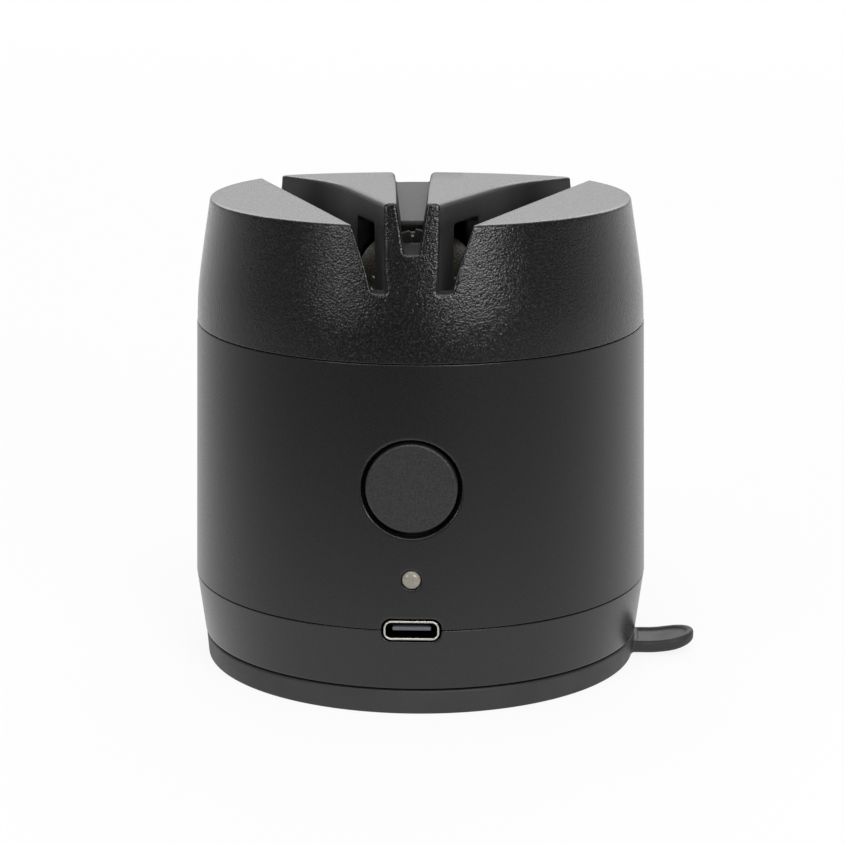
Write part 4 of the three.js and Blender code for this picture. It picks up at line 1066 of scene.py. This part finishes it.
def make_materials():
    return {
        "head": head_plastic(),
        "body": body_plastic(),
        "button": button_plastic(),
        "inner": inner_plastic(),
        "lens": milky_lens(),
        "core": socket_core(),
        "socket": socket_steel(),
        "grit": abrasive_grit(),
        "steel": metal("brushed_steel", (0.56, 0.56, 0.57), 0.28, (40, 40, 1)),
        "dark_steel": metal("dark_steel", (0.05, 0.045, 0.034), 0.55),
        "zinc": metal("zinc_plate", (0.42, 0.43, 0.45), 0.36),
        "brass": metal("brass", (0.56, 0.42, 0.18), 0.3),
        "rubber": moulded(
            "soft_rubber", (90, 3.0), (grey(0.015), grey(0.02)),
            gloss=(200, 0.5, 0.6), bump=(3000, 3.0, 0.65, 0.05, 0.8),
        ),
        "plate": moulded(
            "hard_plate", (1400, 3.0), ((0.012, 0.011, 0.009), (0.02, 0.018, 0.015)),
            gloss=(900, 0.75, 0.9), bump=(3000, 0.02, 0.5),
        ),
        "wrap": moulded(
            "cell_wrap", (120, 2.0), ((0.035, 0.13, 0.36), (0.045, 0.16, 0.42)),
            gloss=(400, 0.3, 0.4), bump=(500, 0.02, 0.3),
        ),
        "board": moulded(
            "board_mask", (300, 2.0), ((0.012, 0.075, 0.03), (0.016, 0.1, 0.04)),
            gloss=(900, 0.3, 0.42), bump=(700, 0.02, 0.3),
        ),
        "chip": moulded(
            "chip_mould", (2000, 2.0), (grey(0.012), grey(0.02)),
            gloss=(2000, 0.5, 0.6), bump=(4000, 0.01, 0.5), vivid=False,
        ),
        "white": moulded(
            "white_mould", (800, 2.0), ((0.62, 0.6, 0.54), (0.7, 0.68, 0.62)),
            gloss=(800, 0.4, 0.5), bump=(3000, 0.01, 0.4), vivid=False,
        ),
    }


# -------- putting the object together

# The parts inside, which keep their solids
INSIDE = {
    "inner": ("motor_bracket", "motor_end_cap", "battery_cradle", "button_collar"),
    "dark_steel": ("motor_shaft", "wheel_hub"),
    "steel": ("motor_screw_left", "motor_screw_right", "battery_contact_top", "battery_contact_bottom"),
    "zinc": (
        "motor_can", "base_screw_1", "base_screw_2", "base_screw_3", "base_screw_4",
        "bracket_screw_1", "bracket_screw_2", "bracket_screw_3", "board_screw_left", "board_screw_right",
    ),
    "brass": ("motor_terminal_left", "motor_terminal_right"),
    "wrap": ("battery_cell",),
    "board": ("main_board",),
    "chip": ("charge_chip", "press_switch"),
    "white": ("switch_plunger", "lamp_diode"),
}


def dress(obj, finish):
    obj.data.materials.clear()
    obj.data.materials.append(finish)


def seat(piece, finish, body, node):
    dress(piece, finish)
    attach(piece, body)
    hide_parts(node)


def assemble():
    mats = make_materials()
    head, sleeve, base, foot = make_shells()
    seat(head, mats["head"], "housing", "head_housing")
    seat(sleeve, mats["body"], "housing", "body_sleeve")
    seat(base, mats["body"], "housing", "base_shell")
    seat(foot, mats["rubber"], "housing", "suction_foot")
    seat(make_button(), mats["button"], "button", "button_cap")
    seat(make_lamp(), mats["lens"], "housing", "lamp_lens")
    seat(make_socket(), mats["socket"], "housing", "usb_shell")
    seat(make_tongue(), mats["core"], "housing", "usb_tongue")
    seat(make_wheel(), mats["grit"], "rotor", "grinding_wheel")
    seat(make_nut(), mats["dark_steel"], "rotor", "wheel_nut")
    seat(make_plate(-1), mats["plate"], "housing", "finishing_plate_left")
    seat(make_plate(1), mats["plate"], "housing", "finishing_plate_right")
    for finish, nodes in INSIDE.items():
        for node in nodes:
            dress(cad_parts[node], mats[finish])


assemble()

# -------- floor, world and lamps

DARK_SIDE = (-0.2, -0.98, 0.0)
FRONT = (-0.07, -0.998, 0.0)


class Studio(Graph):
    """Nodes for the floor and the world: a white sweep with a darker room in front of it."""

    def __init__(self, tree):
        super().__init__(tree)
        self.path = self.nodes.new("ShaderNodeLightPath")

    def vector(self, operation, a, b=None):
        node = self.nodes.new("ShaderNodeVectorMath")
        node.operation = operation
        self.links.new(a, node.inputs[0])
        if b is not None:
            node.inputs[1].default_value = b
        return node.outputs["Value" if operation in ("DOT_PRODUCT", "LENGTH") else "Vector"]

    def flat(self, place):
        return self.vector("MULTIPLY", place, (1, 1, 0))

    def facing(self, place, side, low, high, most):
        """How much a place lies towards one side, from 0 on the far side up to the given most."""
        ahead = self.vector("DOT_PRODUCT", self.vector("NORMALIZE", self.flat(place)), side)
        return self.remap(ahead, low, high, 0.0, most)

    def by_ray(self, others, glossy, seen):
        """One level for most rays, one for reflections and one for the camera and clear transmission."""
        path = self.path.outputs
        straight = self.math("MAXIMUM", path["Is Camera Ray"], path["Is Transmission Ray"])
        return self.mixed(straight, self.mixed(path["Is Glossy Ray"], others, glossy), seen)


def make_floor():
    size, white = 30.0, 0.86
    mesh = bpy.data.meshes.new("floor")
    corners = [(-size, -size, 0), (size, -size, 0), (size, size, 0), (-size, size, 0)]
    mesh.from_pydata(corners, [], [(0, 1, 2, 3)])
    floor = placed("floor", mesh)
    material = bpy.data.materials.new("pale_floor")
    material.use_nodes = True
    studio = Studio(material.node_tree)
    nodes, links = studio.nodes, studio.links
    shader = nodes["Principled BSDF"]
    shader.inputs["Base Color"].default_value = (*grey(white), 1)
    shader.inputs["Roughness"].default_value = 0.8
    shader.inputs["Specular IOR Level"].default_value = 0.0
    place = nodes.new("ShaderNodeNewGeometry").outputs["Position"]
    # In reflections the floor shows a painted pool of light: white under the object and, towards the dark
    # side, dull from 0.27 m on
    reach = studio.vector("LENGTH", studio.flat(place))
    near = studio.remap(reach, 0.06, 0.27, 1.0, 0.16)
    mirrored = studio.mixed(studio.facing(place, DARK_SIDE, -0.85, 1.0, 1.15), 1.0, near)
    glow = nodes.new("ShaderNodeEmission")
    studio.feed(studio.by_ray(0.0, mirrored, 1.0), glow.inputs["Strength"])
    mix = nodes.new("ShaderNodeMixShader")
    studio.feed(studio.by_ray(0.0, 1.0, 0.88), mix.inputs[0])
    links.new(shader.outputs[0], mix.inputs[1])
    links.new(glow.outputs[0], mix.inputs[2])
    links.new(mix.outputs[0], nodes["Material Output"].inputs["Surface"])
    mesh.materials.append(material)


def make_world():
    world = bpy.data.worlds.new("studio")
    bpy.context.scene.world = world
    world.use_nodes = True
    world.node_tree.nodes.clear()
    studio = Studio(world.node_tree)
    nodes, links = studio.nodes, studio.links
    place = nodes.new("ShaderNodeTexCoord").outputs["Generated"]
    # In reflections the room is white behind, dark in front and lighter again overhead
    overhead = studio.remap(studio.split(place)[2], 0.55, 0.9, 0.0, 0.9)
    level = studio.mixed(studio.facing(place, FRONT, -1.0, -0.02, 1.0), 1.0, 0.11)
    light = nodes.new("ShaderNodeBackground")
    mirrored = studio.math("MAXIMUM", level, overhead)
    studio.feed(studio.by_ray(0.7, mirrored, 1.0), light.inputs["Strength"])
    output = nodes.new("ShaderNodeOutputWorld")
    links.new(light.outputs[0], output.inputs["Surface"])


# Name, turn from the front and lift in degrees, distance, width and height in metres, power in watts
SOFTBOXES = (
    ("right_softbox", 28, 21, 1.25, 0.56, 0.3, 5.2),
    ("left_softbox", -39, 21, 1.25, 0.4, 0.3, 2.4),
    ("top_softbox", 0, 58, 1.2, 0.9, 0.5, 5.0),
    ("back_softbox", 178, 30, 1.6, 1.8, 0.8, 9.0),
)
LIGHT_TARGET = (0, 0, 0.06)


def make_lamps():
    for name, turn, lift, reach, wide, tall, power in SOFTBOXES:
        turn, lift = math.radians(turn), math.radians(lift)
        data = bpy.data.lights.new(name, "AREA")
        data.shape = "RECTANGLE"
        data.size, data.size_y = wide, tall
        data.energy = power
        lamp = placed(name, data)
        level = reach * math.cos(lift)
        lamp.location = (level * math.sin(turn), -level * math.cos(turn), reach * math.sin(lift))
        aim = Vector(LIGHT_TARGET) - lamp.location
        lamp.rotation_euler = aim.to_track_quat("-Z", "Y").to_euler()


make_floor()
make_world()
make_lamps()
bpy.context.scene.view_settings.view_transform = "Standard"
